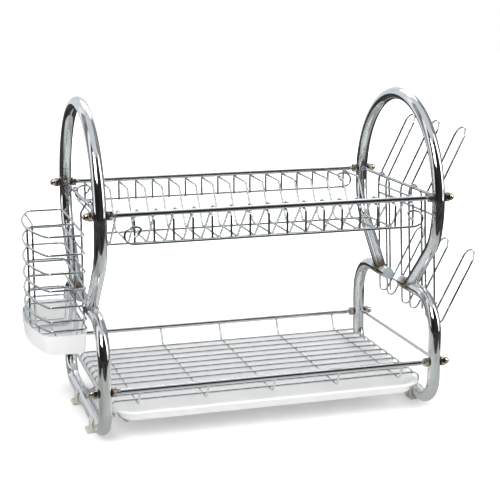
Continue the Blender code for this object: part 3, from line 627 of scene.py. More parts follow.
# Side frames
def ring_path(x):
    """From the front foot over the top to the rear foot. Its ends are inside the lower tube."""
    ring = arc((0, RING_Z), RING_R, math.pi + RING_DROP, -RING_DROP, RING_STEPS)
    end = ring[-1]
    down = (-math.sin(RING_DROP), -math.cos(RING_DROP))
    leg = (math.cos(LEG_ANGLE), math.sin(LEG_ANGLE))
    across = down[0] * leg[1] - down[1] * leg[0]
    reach = ((RING_FOOT_Y - end[0]) * leg[1] - (LOWER_TOP_Z - end[1]) * leg[0]) / across
    corner = (end[0] + reach * down[0], end[1] + reach * down[1])
    points = [end, corner, (RING_FOOT_Y, LOWER_TOP_Z)]
    rear = rounded([(x, *point) for point in points], RING_CORNER_R, 14)[1:]
    front = [Vector((x, -point.y, point.z)) for point in reversed(rear)]
    return front + [Vector((x, *point)) for point in ring] + rear


def lower_path(x):
    """From the front end down, along the floor and up to the rear end."""
    points = [(0, BASE_Z), (LOWER_Y, BASE_Z), (LOWER_Y, LOWER_TOP_Z), (LOWER_END_Y, LOWER_TOP_Z)]
    bends = [LOWER_CORNER_R, LOWER_SHOULDER_R]
    rear = rounded([(x, *point) for point in points], bends, 18)[1:]
    front = [Vector((x, -point.y, point.z)) for point in reversed(rear)]
    return front + rear


def waist_weld(x, side):
    """Where the ring's leg meets the lower tube."""
    cos, sin = math.cos(LEG_ANGLE), math.sin(LEG_ANGLE)
    axis, across = Vector((0, side * cos, sin)), Vector((0, -side * sin, cos))
    foot = Vector((x, side * RING_FOOT_Y, LOWER_TOP_Z))
    line = []
    for index in range(BEAD_STEPS):
        turn = math.tau * index / BEAD_STEPS
        u, v = math.cos(turn), math.sin(turn)
        rise = TUBE_R * (abs(u) - u * cos) / sin
        line.append(foot + rise * axis + TUBE_R * (u * across + v * Vector((1, 0, 0))))
    return line


def tube_plug(x, side):
    """The rounded plug in an open end of the lower tube."""
    profile = [(-0.4 * MM, TUBE_R - 0.5 * MM), (-0.2 * MM, TUBE_R)]
    for step in range(1, 13):
        turn = 0.12 * step
        profile.append((PLUG_BULGE * math.sin(turn), TUBE_R * (0.16 + 0.84 * math.cos(turn))))
    profile.append((PLUG_BULGE, 0.6 * MM))
    loops = []
    for loop in turned(profile, PLUG_SIDES):
        loops.append([(x + y, side * (LOWER_END_Y - u), LOWER_TOP_Z + z) for u, y, z in loop])
    return shell(loops)


def clip_foot(x, out, y):
    """A clip that grips the base tube from below, open at its top. Its toe points outwards."""
    rise, middle = FOOT_ARM_RISE, (FOOT_INNER + FOOT_OUTER) / 2
    half = (FOOT_OUTER - FOOT_INNER) / 2
    tips = []
    for turn, start in ((rise, rise + math.pi), (math.pi - rise, math.pi - rise)):
        centre = (middle * math.cos(turn), BASE_Z + middle * math.sin(turn))
        tips.append(arc(centre, half, start, start - math.pi, 8)[1:-1])
    sole = [(FOOT_OUTER, BASE_Z), (FOOT_OUTER, FOOT_TOE_H), (FOOT_TOE, FOOT_TOE_H)]
    sole += [(FOOT_TOE, 0), (-FOOT_OUTER, 0), (-FOOT_OUTER, BASE_Z)]
    sole = rounded([(*point, 0) for point in sole], FOOT_CORNERS, 4)[1:-1]
    hub = (0, BASE_Z)
    outline = arc(hub, FOOT_INNER, math.pi - rise, math.tau + rise, 48) + tips[0]
    outline += arc(hub, FOOT_OUTER, rise, 0, 8) + [(point.x, point.y) for point in sole]
    outline += arc(hub, FOOT_OUTER, math.pi, math.pi - rise, 8) + tips[1]
    faces_y = (y - FOOT_W / 2, y + FOOT_W / 2)
    mesh = shell([[(x + out * u, w, v) for u, v in outline] for w in faces_y])
    work = bmesh.new()
    work.from_mesh(mesh)
    rims = [edge for edge in work.edges if edge.verts[0].co.y == edge.verts[1].co.y]
    bmesh.ops.bevel(
        work, geom=rims, offset=FOOT_EDGE, segments=2, profile=0.6, affect="EDGES",
        clamp_overlap=True)
    work.to_mesh(mesh)
    work.free()
    return mesh


def tray_wire(out):
    """The wire under the tray and its two arms on the base tube."""
    x = out * (FRAME_X - RAIL_IN)
    rear = [(x, RAIL_BEND_Y), (out * (FRAME_X - RAIL_END_IN), RAIL_END_Y)]
    points = [(u, -y, RAIL_Z) for u, y in reversed(rear)] + [(u, y, RAIL_Z) for u, y in rear]
    made = [wires([rounded(points, RAIL_BEND_R)], RAIL_R)]
    for side in SIDES:
        y = side * RAIL_ARM_Y
        start = (x, y, RAIL_Z)
        knee = (x + out * (RAIL_Z - BASE_Z), y, BASE_Z)
        tip = (out * (FRAME_X - TUBE_R + RAIL_ARM_BITE), y, BASE_Z)
        made.append(wires([rounded([start, knee, tip], SMALL_BEND)], RAIL_ARM_R))
        made.append(lumps([start, tip], RAIL_WELD_R, seed=8))
    return made


def side_frame(end):
    """The two bent tubes, their welds, plugs and feet, the cross bars and the tray's wire."""
    out = ENDS[end]
    x = out * FRAME_X
    tubes = (("bent_ring", ring_path, "upper_ring_tube"), ("bent_base", lower_path, "lower_tube"))
    for name, path, node in tubes:
        tube = wires([path(x)], TUBE_R, sides=TUBE_SIDES, finish=TUBE_CHROME)
        piece(f"{end}_{name}", "frame", TUBE_CHROME, [tube], [f"{end}_{node}"])
    beads = [lumps(waist_weld(x, side), BEAD_R, seed=3 + side, along=True) for side in SIDES]
    piece(f"{end}_waist_welds", "frame", WELD_METAL, beads)
    plugs = [tube_plug(x, side) for side in SIDES]
    names = [f"{end}_{depth}_end_cap" for depth in DEPTHS]
    piece(f"{end}_tube_plugs", "frame", PLUG_PLASTIC, plugs, names)
    feet = [clip_foot(x, out, y) for y in FOOT_PLACES]
    names = [f"{end}_{depth}_foot" for depth in DEPTHS]
    piece(f"{end}_clip_feet", "frame", SHADED_FOOT_PLASTIC, feet, names)
    upper = UPPER_ROD_Y - TUBE_R
    lower = LOWER_Y - math.sqrt(TUBE_R**2 - LOWER_BAR_OUT**2) + END_BAR_BITE
    bars = (
        ("upper", x, UPPER_ROD_Z, upper + END_BAR_BITE, upper, 5),
        ("lower", x + out * LOWER_BAR_OUT, LOWER_ROD_Z, lower, lower, 6),
    )
    for tier, bar_x, z, half, weld_y, seed in bars:
        bar = wires([[(bar_x, -half, z), (bar_x, half, z)]], END_BAR_R)
        welds = lumps([(bar_x, side * weld_y, z) for side in SIDES], BAR_WELD_R, seed)
        name, node = f"{end}_{tier}_cross_bar", f"{end}_{tier}_end_bar"
        piece(name, "frame", WIRE_CHROME, [bar, welds], [node])
    rail = tray_wire(out)
    piece(f"{end}_tray_wire", "frame", WIRE_CHROME, rail, [f"{end}_tray_rail"])


# Nuts, washers and threads
def hex_radius(radius, turn):
    """The radius of the hexagon at this angle, and no more than the given radius."""
    flat = math.radians(60)
    return min(radius, NUT_FLATS / 2 / math.cos((turn + flat / 2) % flat - flat / 2))


def nut_profile(closed_end):
    """(x, radius) from the seat outwards: a collar, the chamfered flats, then dome or hole."""
    corner = NUT_FLATS / 2 / math.cos(math.radians(30))
    fall = math.tan(NUT_CHAMFER)
    rim = NUT_FLATS / 2 * 0.95
    face = NUT_COLLAR_H + 0.1 * MM
    profile = [(0, NUT_COLLAR_R - 0.2 * MM), (0.15 * MM, NUT_COLLAR_R)]
    profile += [(NUT_COLLAR_H, NUT_COLLAR_R), (face, NUT_COLLAR_R - 0.3 * MM)]
    steps = [rim + (corner - rim) * share for share in (0, 0.35, 0.7, 1)]
    profile += [(face + (radius - rim) * fall * 0.5, radius) for radius in steps]
    profile += [(NUT_H - (radius - rim) * fall, radius) for radius in reversed(steps)]
    if closed_end:
        start = NUT_H + 0.5 * MM
        profile += [(NUT_H, DOME_R + 0.1 * MM), (start, DOME_R)]
        for step in range(1, 12):
            share = step / 11.5
            x = start + (DOME_H - 0.5 * MM) * share
            profile.append((x, DOME_R * (1 - share**2.3) ** 0.5))
        profile.append((NUT_H + DOME_H, 0.3 * MM))
    else:
        profile += [(NUT_H, rim), (NUT_H, THREAD_R + 0.6 * MM)]
        profile.append((NUT_H - 0.6 * MM, THREAD_R + 0.1 * MM))
    return profile


def nut_shape(closed_end):
    """The nut. Only the rings of its chamfered flats are cut by the hexagon."""
    hex_rings = range(4, 12)

    def cut(index, radius, turn):
        return hex_radius(radius, turn) if index in hex_rings else radius

    return placed("nut", shell(turned(nut_profile(closed_end), NUT_SIDES, cut)))


def washer_shape():
    """A thin ring between the round tube and the flat nut: its seat follows the tube. Its
    near-black finish is painted shade for the dark gap there.
    """
    turns = [math.tau * side / WASHER_SIDES for side in range(WASHER_SIDES)]
    bore = THREAD_R + 0.2 * MM
    top = NUT_SEAT - WASHER_SEAT - 0.05 * MM

    def ring(radius, flat):
        loop = []
        for turn in turns:
            y, z = radius * math.cos(turn), radius * math.sin(turn)
            seat = max(math.sqrt(TUBE_R**2 - y**2) - TUBE_R, -0.5 * MM)
            loop.append((top if flat else seat, y, z))
        return loop

    loops = [ring(bore, False), ring(WASHER_R, False)]
    loops += [ring(WASHER_R + 0.1 * MM, True), ring(bore, True)]
    return placed("washer", shell(loops, closed=True))


def thread_shape():
    """The bare threaded neck of the rod: a core with ridges."""
    start, core = -NECK - 0.5 * MM, THREAD_R - 0.35 * MM
    profile = [(start, core)]
    for index in range(round(-start / THREAD_PITCH * 2)):
        radius = THREAD_R + (THREAD_DEPTH if index % 2 else -THREAD_DEPTH)
        profile.append((start + (index + 0.5) * THREAD_PITCH / 2, radius))
    profile.append((0.5 * MM, core))
    return placed("thread", shell(turned(profile, THREAD_SIDES)))


def rod_places(offset, flip, turned_by):
    """Points at the eight rod ends, offset outwards from the frame, with each fastener's turn."""
    points, turns = [], []
    for out in ENDS.values():
        for y, z in ((UPPER_ROD_Y, UPPER_ROD_Z), (LOWER_Y, LOWER_ROD_Z)):
            for side in SIDES:
                points.append([(out * (FRAME_X + offset), side * y, z)])
                angle = turned_by * (len(points) * 0.37 + 0.2)
                turns.append((angle, 0, 0 if out * flip > 0 else math.pi))
    mesh = edge_paths(points)
    store = mesh.attributes.new("turn", "FLOAT_VECTOR", "POINT")
    for item, turn in zip(store.data, turns):
        item.vector = turn
    return mesh


def fasteners():
    """One piece for each kind, at all eight rod ends. Its rows are (offset, flip, turned by)."""
    outer, inner = (WASHER_SEAT, 1, 0), (-WASHER_SEAT, -1, 0)
    plan = [
        ("cap_nuts", nut_shape(True), NUT_NICKEL, "nickel", [(NUT_SEAT, 1, 1)], ["domed_nut"]),
        ("inner_nuts", nut_shape(False), NUT_NICKEL, "nickel", [(-NUT_SEAT, -1, 1)], ["hex_nut"]),
        ("rubber_washers", washer_shape(), WASHER_PAINTED_SHADE, "black_rubber", [outer, inner],
         ["outer_washer", "inner_washer"]),
        ("rod_threads", thread_shape(), THREAD_STEEL, "chrome_wire", [(-NUT_SEAT - NUT_H, 1, 0)],
         []),
    ]
    spots = [f"{end}_{tier}_{depth}" for end in ENDS for tier in TIERS for depth in DEPTHS]
    for name, shape, finish, slot, rows, kinds in plan:
        meshes = [grown(FASTENERS, rod_places(*row), Fastener=shape, Finish=finish) for row in rows]
        bpy.data.objects.remove(shape)
        replaced = [f"{spot}_{kind}" for spot in spots for kind in kinds]
        piece(name, "frame", finish, meshes, replaced, SHARP_FASTENER)


# Upper tier
def rods(y, z):
    """The front and the rear rod of a tier, as far as their threads."""
    half = FRAME_X - NUT_SEAT - NUT_H - NECK
    paths = [[(-half, side * y, z), (half, side * y, z)] for side in SIDES]
    return wires(paths, ROD_R, sides=ROD_SIDES)


def scroll_path(last_x, y, z):
    """A long wire whose ends turn up outside the last upright into a scroll with a short leaf."""
    leaf = [(0.5 * MM, SCROLL_H * 0.4), (-SCROLL_LEAF * 0.55, SCROLL_H * 0.52)]
    leaf.append((-SCROLL_LEAF, SCROLL_H * 0.74))
    loop = arc((0, 0), 1, SCROLL_START, -math.pi / 2, 22)
    points = leaf + [(SCROLL_REACH * u, SCROLL_H * (1 + v) / 2) for u, v in loop]
    right = [Vector((last_x + u, y, z + v)) for u, v in points]
    return right + [Vector((-point.x, y, point.z)) for point in reversed(right)]


def plate_rack():
    """Rods, trough-shaped dividers, front hanging wires and the long wires that join them."""
    under = UPPER_ROD_Z - ROD_R - DIVIDER_R + BITE
    step = 2 * DIVIDER_END / (DIVIDER_COUNT - 1)
    weld = DIVIDER_R + LONG_R - BITE
    front_y = -UPPER_ROD_Y + ROD_R / 2
    points = [(FENCE_Y, FENCE_Z - LONG_R), (FENCE_Y, under), (TROUGH_REAR_Y, under)]
    points += [(TROUGH_HALF, TROUGH_Z), (-TROUGH_HALF, TROUGH_Z)]
    points += [(-TROUGH_FRONT_Y, TROUGH_FRONT_Z), (front_y, TROUGH_FRONT_Z)]
    bends = [SMALL_BEND] + [TROUGH_BEND] * 4
    divider = rounded([(-DIVIDER_END, *point) for point in points], bends)
    points = [(front_y, under), (-HANGER_Y, under), (-HANGER_Y, HANGER_Z - LONG_R)]
    hanger = rounded([(-DIVIDER_END + step / 2, *point) for point in points], SMALL_BEND)
    half, trough_y, z = DIVIDER_END + LONG_SPARE, TROUGH_HALF - TROUGH_BEND, TROUGH_Z - weld
    trough = [[(-half, side * trough_y, z), (half, side * trough_y, z)] for side in SIDES]
    fence = scroll_path(DIVIDER_END, FENCE_Y + weld, FENCE_Z)
    front = scroll_path(DIVIDER_END - step / 2, -HANGER_Y - weld, HANGER_Z)
    meshes = [
        rods(UPPER_ROD_Y, UPPER_ROD_Z),
        wires([divider], DIVIDER_R, DIVIDER_COUNT, (step, 0, 0), sides=DIVIDER_SIDES),
        wires([hanger], DIVIDER_R, DIVIDER_COUNT - 1, (step, 0, 0), sides=DIVIDER_SIDES),
        wires([*trough, fence, front], LONG_R),
    ]
    piece("plate_rack_wires", "frame", WIRE_CHROME, meshes, ["upper_plate_rack"])
    spots = []
    for index in range(DIVIDER_COUNT):
        x = -DIVIDER_END + step * index
        spots += [(x, FENCE_Y + weld / 2, FENCE_Z), (x, UPPER_ROD_Y, under + weld / 2)]
        spots.append((x, -UPPER_ROD_Y + ROD_R, UPPER_ROD_Z - MM))
        spots += [(x, side * trough_y, TROUGH_Z - weld / 2) for side in SIDES]
        if index:
            x -= step / 2
            spots += [(x, -HANGER_Y - weld / 2, HANGER_Z), (x, -UPPER_ROD_Y, under + weld / 2)]
    welds = lumps(spots, RACK_WELD_R, seed=11)
    piece("plate_rack_welds", "frame", WELD_METAL, [welds])


# Lower tier
def dish_basket():
    """Rods, long wires that curl under at both ends, and cross wires hung from the rods."""
    centre = (FRAME_X - CURL_OUT - CURL_R, DECK_Z - CURL_R)
    right = [Vector((u, -DECK_HALF, v)) for u, v in arc(centre, CURL_R, CURL_END, math.pi / 2, 14)]
    deck = right + [Vector((-point.x, point.y, point.z)) for point in reversed(right)]
    low = DECK_Z - LONG_R - DIVIDER_R + BITE
    rod_y, rod_z = LOWER_Y - ROD_R / 2, LOWER_ROD_Z - ROD_R / 2
    points = [(-rod_y, rod_z), (-CROSS_HALF, low), (CROSS_HALF, low), (rod_y, rod_z)]
    cross = rounded([(-CROSS_END, *point) for point in points], TROUGH_BEND)
    reach = CURL_R + LONG_R + DIVIDER_R - BITE
    tip_x = centre[0] + reach * math.cos(CURL_WIRE)
    tip_z = centre[1] + reach * math.sin(CURL_WIRE)
    half = DECK_HALF + LONG_SPARE
    tips = [[(out * tip_x, -half, tip_z), (out * tip_x, half, tip_z)] for out in SIDES]
    pitch = 2 * DECK_HALF / (DECK_COUNT - 1)
    cross_step = 2 * CROSS_END / (CROSS_COUNT - 1)
    meshes = [
        rods(LOWER_Y, LOWER_ROD_Z),
        wires([deck], LONG_R, DECK_COUNT, (0, pitch, 0)),
        wires([cross], DIVIDER_R, CROSS_COUNT, (cross_step, 0, 0)),
        wires(tips, DIVIDER_R),
    ]
    piece("dish_basket_wires", "frame", WIRE_CHROME, meshes, ["lower_dish_basket"])
    cross_xs = [-CROSS_END + cross_step * index for index in range(CROSS_COUNT)]
    spots = []
    for index in range(DECK_COUNT):
        y = -DECK_HALF + pitch * index
        spots += [(x, y, DECK_Z - LONG_R + BITE / 2) for x in cross_xs]
        spots += [(out * (tip_x - 0.5 * MM), y, tip_z + MM) for out in SIDES]
    rod_y, rod_z = LOWER_Y - ROD_R + 0.6 * MM, LOWER_ROD_Z - ROD_R + 0.6 * MM
    spots += [(x, side * rod_y, rod_z) for x in cross_xs for side in SIDES]
    welds = lumps(spots, RACK_WELD_R, seed=12)
    piece("dish_basket_welds", "frame", WELD_METAL, [welds])


# Drip tray
def tray_loop(grow, z):
    half_x, half_y = TRAY_HALF_X + grow, TRAY_HALF_Y + grow
    corners = [(half_x, half_y), (-half_x, half_y), (-half_x, -half_y), (half_x, -half_y)]
    return rounded([(*corner, z) for corner in corners], TRAY_CORNER + grow, 12, closed=True)


def drip_tray():
    """A shallow pan with a rounded foot and a rim that turns out into a soft lip."""
    low, top, wall = TRAY_BOTTOM_Z, TRAY_RIM_Z, TRAY_WALL
    outside = [(-8, 0), (-6.2, 0.25), (-4.9, 1), (-4, 2.4), (-0.6, 10.6), (0, 11.6), (1, 12.1)]
    profile = wall_profile([
        (0, low, outside),
        (TRAY_LIP, top - wall, [(-1.2, 0), (-0.6, -0.5), (-0.1, -0.4), (0, 0.3)]),
        (TRAY_LIP, top, [(-0.2, -0.3), (-0.8, 0)]),
        (0, top, [(0, 0), (-1.2, -0.4), (-1.9, -1.4)]),
        (0, low + wall, [(-5.6, 2), (-6.6, 0.7), (-8.4, 0)]),
    ])
    pan = shell([tray_loop(grow, z) for grow, z in profile])
    piece(
        "tray_moulding", "tray", TRAY_PLASTIC, [pan], ["drip_tray"],
        SHARP_MOULDING)


# Hung pieces
def outward(end, u, y, z):
    """A place at this end of the drainer, u outwards from the frame's middle plane."""
    return Vector((ENDS[end] * (FRAME_X + u), y, z))


def hanger_path(end, knee_u, bottom_u, bottom_z):
    """One wire: up, over the end bar, along behind it, over it again and down."""
    clear = END_BAR_R + HOOK_R + HOOK_GAP
    top = UPPER_ROD_Z + clear
    front = [(bottom_u, bottom_z), (knee_u, HOOK_KNEE_Z), (HOOK_LEAN, top)]
    front += [(-clear, top), (-clear, HOOK_BACK_Z)]
    points = [outward(end, u, -HOOK_Y, z) for u, z in front]
    points += [outward(end, u, HOOK_Y, z) for u, z in reversed(front)]
    return rounded(points, HOOK_BENDS + HOOK_BENDS[::-1], 6)


def bow(y, side=BASKET_SIDE, out=BASKET_BOW, half=BASKET_HALF):
    """How far out the bowed side lies at this depth."""
    rise = out - side
    radius = (half**2 + rise**2) / (2 * rise)
    return out - radius + math.sqrt(radius**2 - y**2)


def basket_plan(z, inner=BASKET_IN, side=BASKET_SIDE, out=BASKET_BOW, half=BASKET_HALF,
                corner=BASKET_CORNER):
    """The D-shaped outline of the cutlery basket and its cup."""
    ys = [half * BOW_SHARE * step / BOW_STEPS for step in range(-BOW_STEPS, BOW_STEPS + 1)]
    points = [(inner, -half), (side, -half)] + [(bow(y, side, out, half), y) for y in ys]
    points += [(side, half), (inner, half)]
    radii = [corner, corner] + [None] * len(ys) + [corner, corner]
    return rounded([outward("left", u, y, z) for u, y in points], radii, 6, closed=True)


def cutlery_basket():
    """Ring wires, floor wires, a partition with its bars, a chord and a double hanger."""
    top, low = BASKET_LEVELS[0], BASKET_LEVELS[-1]
    lean = CUP_DRAFT * (low - FLOOR_Z) / (CUP_RIM_Z - CUP_BOTTOM_Z)
    step = RING_WIRE_R + FLOOR_R - BITE
    rim = low + RING_WIRE_R
    floor_wires = []
    for share in FLOOR_Y_SHARES:
        y = BASKET_HALF * share
        inner, outer = BASKET_IN + step, bow(y) + step
        points = [(inner, rim), (inner + lean, FLOOR_Z), (outer - lean, FLOOR_Z), (outer, rim)]
        floor_wires.append(rounded([outward("left", u, y, z) for u, z in points], SMALL_BEND))
    step = RING_WIRE_R + PARTITION_R - BITE
    inner, outer = BASKET_IN + step, bow(PARTITION_Y) - step
    foot = FLOOR_Z + PARTITION_RISE
    points = [(inner, top), (outer, top), (outer, low)]
    points += [(outer - lean, foot), (inner + lean, foot), (inner, low)]
    points = [outward("left", u, PARTITION_Y, z) for u, z in points]
    partition = rounded(points, PARTITION_CORNER, closed=True)
    bar_y = PARTITION_Y + 2 * PARTITION_R - BITE
    bar = [outward("left", u, bar_y, BAR_TOP_Z) for u in (inner, outer)]
    chord_top, chord_low = top - step, FLOOR_Z + CHORD_RISE
    points = [(CHORD_OUT, CHORD_REAR_Y, chord_top), (CHORD_OUT, CHORD_Y, chord_top)]
    points += [(CHORD_OUT, CHORD_Y, chord_low), (inner + lean, CHORD_Y, chord_low)]
    points.append((inner, CHORD_Y, low))
    chord = rounded([outward("left", *point) for point in points], SMALL_BEND)
    rail_y, rail_z = FLOOR_RAIL_SHARE * BASKET_HALF, FLOOR_Z + FLOOR_R + PARTITION_R - BITE
    rail = [outward("left", FLOOR_RAIL_OUT, side * rail_y, rail_z) for side in SIDES]
    hanger_u = BASKET_IN - RING_WIRE_R - HOOK_R + BITE
    meshes = [
        wires([basket_plan(z) for z in BASKET_LEVELS], RING_WIRE_R, closed=True),
        wires(floor_wires, FLOOR_R),
        wires([partition], PARTITION_R, closed=True),
        wires([bar], PARTITION_R, BAR_COUNT, (0, 0, -BAR_PITCH)),
        wires([chord, rail], PARTITION_R),
        wires([hanger_path("left", hanger_u, hanger_u, low - RING_WIRE_R)], HOOK_R),
    ]
    piece(
        "cutlery_basket_wires", "cutlery_basket", WIRE_CHROME, meshes,
        ["cutlery_basket"])
    spots = [(hanger_u + HOOK_R, side * HOOK_Y, z) for side in SIDES for z in BASKET_LEVELS]
    spots += [(u + MM, PARTITION_Y, z) for z in BASKET_LEVELS for u in (BASKET_IN, outer)]
    for share in FLOOR_Y_SHARES:
        y = BASKET_HALF * share
        spots += [(u + MM, y, low) for u in (BASKET_IN, bow(y))]
    welds = lumps([outward("left", *spot) for spot in spots], BASKET_WELD_R, seed=13)
    piece("cutlery_basket_welds", "cutlery_basket", WELD_METAL, [welds])


def drip_cup():
    """An open cup that grips the basket's floor wires, with a rounded foot and a rolled rim."""
    seat = FLOOR_R + RING_WIRE_R + FLOOR_R - BITE + CUP_GAP
    inner = BASKET_IN + RING_WIRE_R - BITE - CUP_GAP
    half = BASKET_HALF + 1.7 * MM
    low, rim, wall, draft = CUP_BOTTOM_Z, CUP_RIM_Z, CUP_WALL, CUP_DRAFT
    profile = wall_profile([
        (wall - draft, low, [(-2.4, 0), (-1, 0.3), (-0.2, 1.1), (0.1, 2.6)]),
        (wall, rim, [(0, -0.4), (-0.3, 0)]),
        (0, rim, [(0.3, 0), (0, -0.4)]),
        (-draft, low + wall, [(0.1, 2.2), (-0.5, 0.7), (-1.8, 0)]),
    ])
    loops = []
    for grow, z in profile:
        side, out = BASKET_SIDE + seat + grow, BASKET_BOW + seat + grow
        loops.append(basket_plan(z, inner - grow, side, out, half + grow, CUP_CORNER + grow))
    piece(
        "drip_cup_moulding", "drip_cup", CUP_PLASTIC, [shell(loops)],
        ["cutlery_drip_cup"], SHARP_MOULDING)


def holder_u(z):
    """How far out the upright stretch of the loops lies at this height."""
    share = (LOOP_ELBOW[1] - z) / (LOOP_ELBOW[1] - LOOP_FOOT[1])
    return LOOP_ELBOW[0] + share * (LOOP_FOOT[0] - LOOP_ELBOW[0])


def loop_tip(start, heading, y, side):
    """The half circle that closes a loop at its tip."""
    points = []
    for step in range(1, LOOP_TIP_STEPS):
        turn = side * (math.pi / 2 - math.pi * step / LOOP_TIP_STEPS)
        u, z = start + LOOP_HALF * math.cos(turn) * heading
        points.append(outward("right", u, y + LOOP_HALF * math.sin(turn), z))
    return points


def holder_loop(y):
    """A closed wire: out to the upper tip, down, round the bend and out to the lower tip."""
    centre = (LOOP_FOOT[0] + LOOP_J_R, LOOP_FOOT[1])
    bend = arc(centre, LOOP_J_R, math.pi, 1.5 * math.pi + LOOP_ARM_ANGLE, 16)
    arm = Vector((math.cos(LOOP_ARM_ANGLE), math.sin(LOOP_ARM_ANGLE)))
    low = Vector(bend[-1]) + (LOOP_ARM - LOOP_HALF) * arm
    rise = (Vector(LOOP_TIP) - Vector(LOOP_ELBOW)).normalized()
    high = Vector(LOOP_TIP) - LOOP_HALF * rise
    upper = rounded([(*high, 0), (*LOOP_ELBOW, 0), (*bend[0], 0)], LOOP_ELBOW_R, 10)[:-1]
    line = [(point.x, point.y) for point in upper] + bend + [tuple(low)]
    front = [outward("right", u, y - LOOP_HALF, z) for u, z in line]
    rear = [outward("right", u, y + LOOP_HALF, z) for u, z in reversed(line)]
    return front + loop_tip(low, arm, y, -1) + rear + loop_tip(high, rise, y, 1)


def board_holder():
    """Three long loops, the two cross wires that join them and a double hanger."""
    first = -LOOP_PITCH * (LOOP_COUNT - 1) / 2
    half = -first + LOOP_HALF + LOOP_R
    step = LOOP_R + LONG_R - BITE
    crosses = []
    for z in LOOP_CROSS_LEVELS:
        crosses.append([outward("right", holder_u(z) + step, side * half, z) for side in SIDES])
    knee_u, bottom_u = holder_u(HOOK_KNEE_Z), holder_u(LOOP_HANGER_Z)
    pitch = (0, LOOP_PITCH, 0)
    meshes = [
        wires([holder_loop(first)], LOOP_R, LOOP_COUNT, pitch, closed=True, sides=LOOP_SIDES),
        wires(crosses, LONG_R),
        wires([hanger_path("right", knee_u, bottom_u, LOOP_HANGER_Z)], HOOK_R),
    ]
    piece(
        "holder_wires", "board_holder", WIRE_CHROME, meshes,
        ["board_and_cup_holder"])
    ys = [first + LOOP_PITCH * index + side * LOOP_HALF
          for index in range(LOOP_COUNT) for side in SIDES]
    ys += [side * HOOK_Y for side in SIDES]
    spots = [outward("right", holder_u(z) + step / 2, y, z) for y in ys for z in LOOP_CROSS_LEVELS]
    welds = lumps(spots, HOLDER_WELD_R, seed=14)
    piece("holder_welds", "board_holder", WELD_METAL, [welds])


# Studio
def staged(name, points, faces, material):
    mesh = bpy.data.meshes.new(name)
    mesh.from_pydata(points, [], faces)
    mesh.materials.append(material)
    obj = placed(name, mesh)
    return obj


def rectangle(half, z):
    return [(u * half[0], v * half[1], z) for u, v in ((-1, -1), (1, -1), (1, 1), (-1, 1))]


def studio_white(tree):
    """A value that is 1 for what the camera sees itself, in metal or through plastic."""
    path = tree.nodes.new("ShaderNodeLightPath").outputs
    seen = reckoned(tree, "Math", "MAXIMUM", path["Is Camera Ray"], path["Is Glossy Ray"])
    return reckoned(tree, "Math", "MAXIMUM", seen, path["Is Transmission Ray"])


def floor():
    """Pale paper that keeps the drainer's shadow and goes over into white further out."""
    made, tree, shader, place = shader_tree("floor_paper")
    away = reckoned(tree, "VectorMath", "LENGTH", place)
    fade = spread(tree, away, FLOOR_LIFT, 1, *FLOOR_FADE)
    fill(tree, shader, {
        "Base Color": tinted(tree, cloud(tree, place, scale=3), PAPER_GREY, PAPER_PALE),
        "Roughness": 0.8,
        "Specular IOR Level": 0,
        "Emission Color": (1, 1, 1, 1),
        "Emission Strength": reckoned(tree, "Math", "MULTIPLY", studio_white(tree), fade),
    })
    staged("floor", rectangle(FLOOR_HALF, 0), [(0, 1, 2, 3)], made)


def card(name, points, faces, colour, level, uneven):
    """A card that only metal and gloss reflect, as in a photographer's room, a little uneven."""
    made = bpy.data.materials.new(name)
    made.use_nodes = True
    tree = made.node_tree
    tree.nodes.clear()
    place = tree.nodes.new("ShaderNodeTexCoord").outputs["Object"]
    patches = cloud(tree, place, scale=2.2, detail=2, stretch=(1, 1, 0.25))
    strength = spread(tree, patches, level * (1 - uneven), level * (1 + uneven))
    light = added(tree, "Emission", {"Color": (*colour, 1), "Strength": strength})
    added(tree, "OutputMaterial", {"Surface": light["Emission"]})
    obj = staged(name, points, faces, made)
    for ray in ("camera", "diffuse", "shadow", "transmission"):
        setattr(obj, f"visible_{ray}", False)


def wall_card(name, start, end, colour, level, uneven):
    """A curved wall. Its angles, in degrees, go round from the front, to the right."""
    shares = [step / WALL_STEPS for step in range(WALL_STEPS + 1)]
    turns = [math.radians(start + (end - start) * share) for share in shares]
    ring = [(ROOM_RADIUS * math.sin(turn), -ROOM_RADIUS * math.cos(turn)) for turn in turns]
    points = [(x, y, z) for x, y in ring for z in (0, ROOM_TOP)]
    faces = [(2 * k, 2 * k + 2, 2 * k + 3, 2 * k + 1) for k in range(WALL_STEPS)]
    card(name, points, faces, colour, level, uneven)


def flat_card(name, inner, outer, z, colour, level, uneven):
    """A flat frame between two rectangles, by their half sizes. Without an inner it has no hole."""
    points, faces = rectangle(outer, z), [(0, 1, 2, 3)]
    if inner:
        points = rectangle(inner, z) + points
        faces = [(k, (k + 1) % 4, 4 + (k + 1) % 4, 4 + k) for k in range(4)]
    card(name, points, faces, colour, level, uneven)


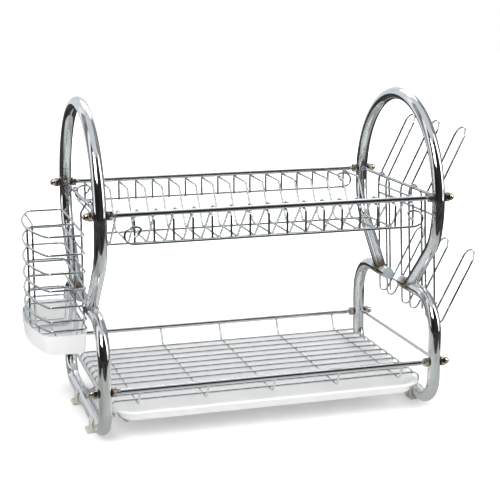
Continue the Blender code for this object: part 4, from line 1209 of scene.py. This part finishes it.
def room():
    """What the chrome reflects: a pale table in a dark room, with grey walls at its sides.

    The wall behind and the ceiling are pale, and the gaps between the walls are white.
    """
    far = (ROOM_RADIUS, ROOM_RADIUS)
    low, high = 1 * MM, 1.5 * MM
    flat_card("room_table", None, TABLE_HALF, low, (0.97, 1, 0.95), level=0.46, uneven=0.35)
    flat_card("room_dark_floor", TABLE_HALF, far, high, (1, 0.95, 0.92), level=0.05, uneven=0.6)
    flat_card("room_ceiling", None, far, ROOM_TOP, (0.94, 0.975, 1), level=0.72, uneven=0.12)
    wall_card("room_front", -84, 48, (1, 0.93, 0.9), level=0.03, uneven=0.7)
    wall_card("room_left", -140, -108, (0.97, 1, 1), level=0.3, uneven=0.5)
    wall_card("room_right", 72, 140, (0.97, 1, 1), level=0.3, uneven=0.5)
    wall_card("room_back", 150, 212, (0.93, 0.97, 1), level=0.8, uneven=0.1)


def aimed(name, data, place, direction):
    obj = placed(name, data)
    obj.location = place
    obj.rotation_euler = direction.to_track_quat("-Z", "Y").to_euler()
    return obj


def lamp(name, place, size, energy):
    """A softbox that points at the middle of the drainer."""
    data = bpy.data.lights.new(name, "AREA")
    data.shape = "RECTANGLE"
    data.size, data.size_y = size
    data.energy = energy
    aimed(name, data, place, VIEW_TARGET - Vector(place))


def studio():
    scene = bpy.context.scene
    scene.view_settings.view_transform = "Standard"
    world = bpy.data.worlds.new("studio")
    world.use_nodes = True
    scene.world = world
    tree = world.node_tree
    strength = spread(tree, studio_white(tree), AMBIENT, 1, 0, 1)
    fill(tree, tree.nodes["Background"], {"Color": (1, 1, 1, 1), "Strength": strength})
    floor()
    room()
    lamp("key_softbox", (-1.1, -1.5, 2.0), size=(1.2, 1.2), energy=22)
    lamp("right_softbox", (1.9, -0.9, 1.2), size=(0.9, 1.8), energy=14)
    lamp("back_softbox", (0.4, 1.6, 1.9), size=(1.6, 0.9), energy=12)
    camera = bpy.data.cameras.new("camera")
    camera.angle = VIEW_ANGLE
    level, rise = math.cos(VIEW_ELEVATION), math.sin(VIEW_ELEVATION)
    away = Vector((level * math.sin(VIEW_AZIMUTH), -level * math.cos(VIEW_AZIMUTH), rise))
    scene.camera = aimed("camera", camera, VIEW_TARGET + VIEW_DISTANCE * away, -away)


for side_name in ENDS:
    side_frame(side_name)
fasteners()
plate_rack()
dish_basket()
drip_tray()
cutlery_basket()
drip_cup()
board_holder()
studio()
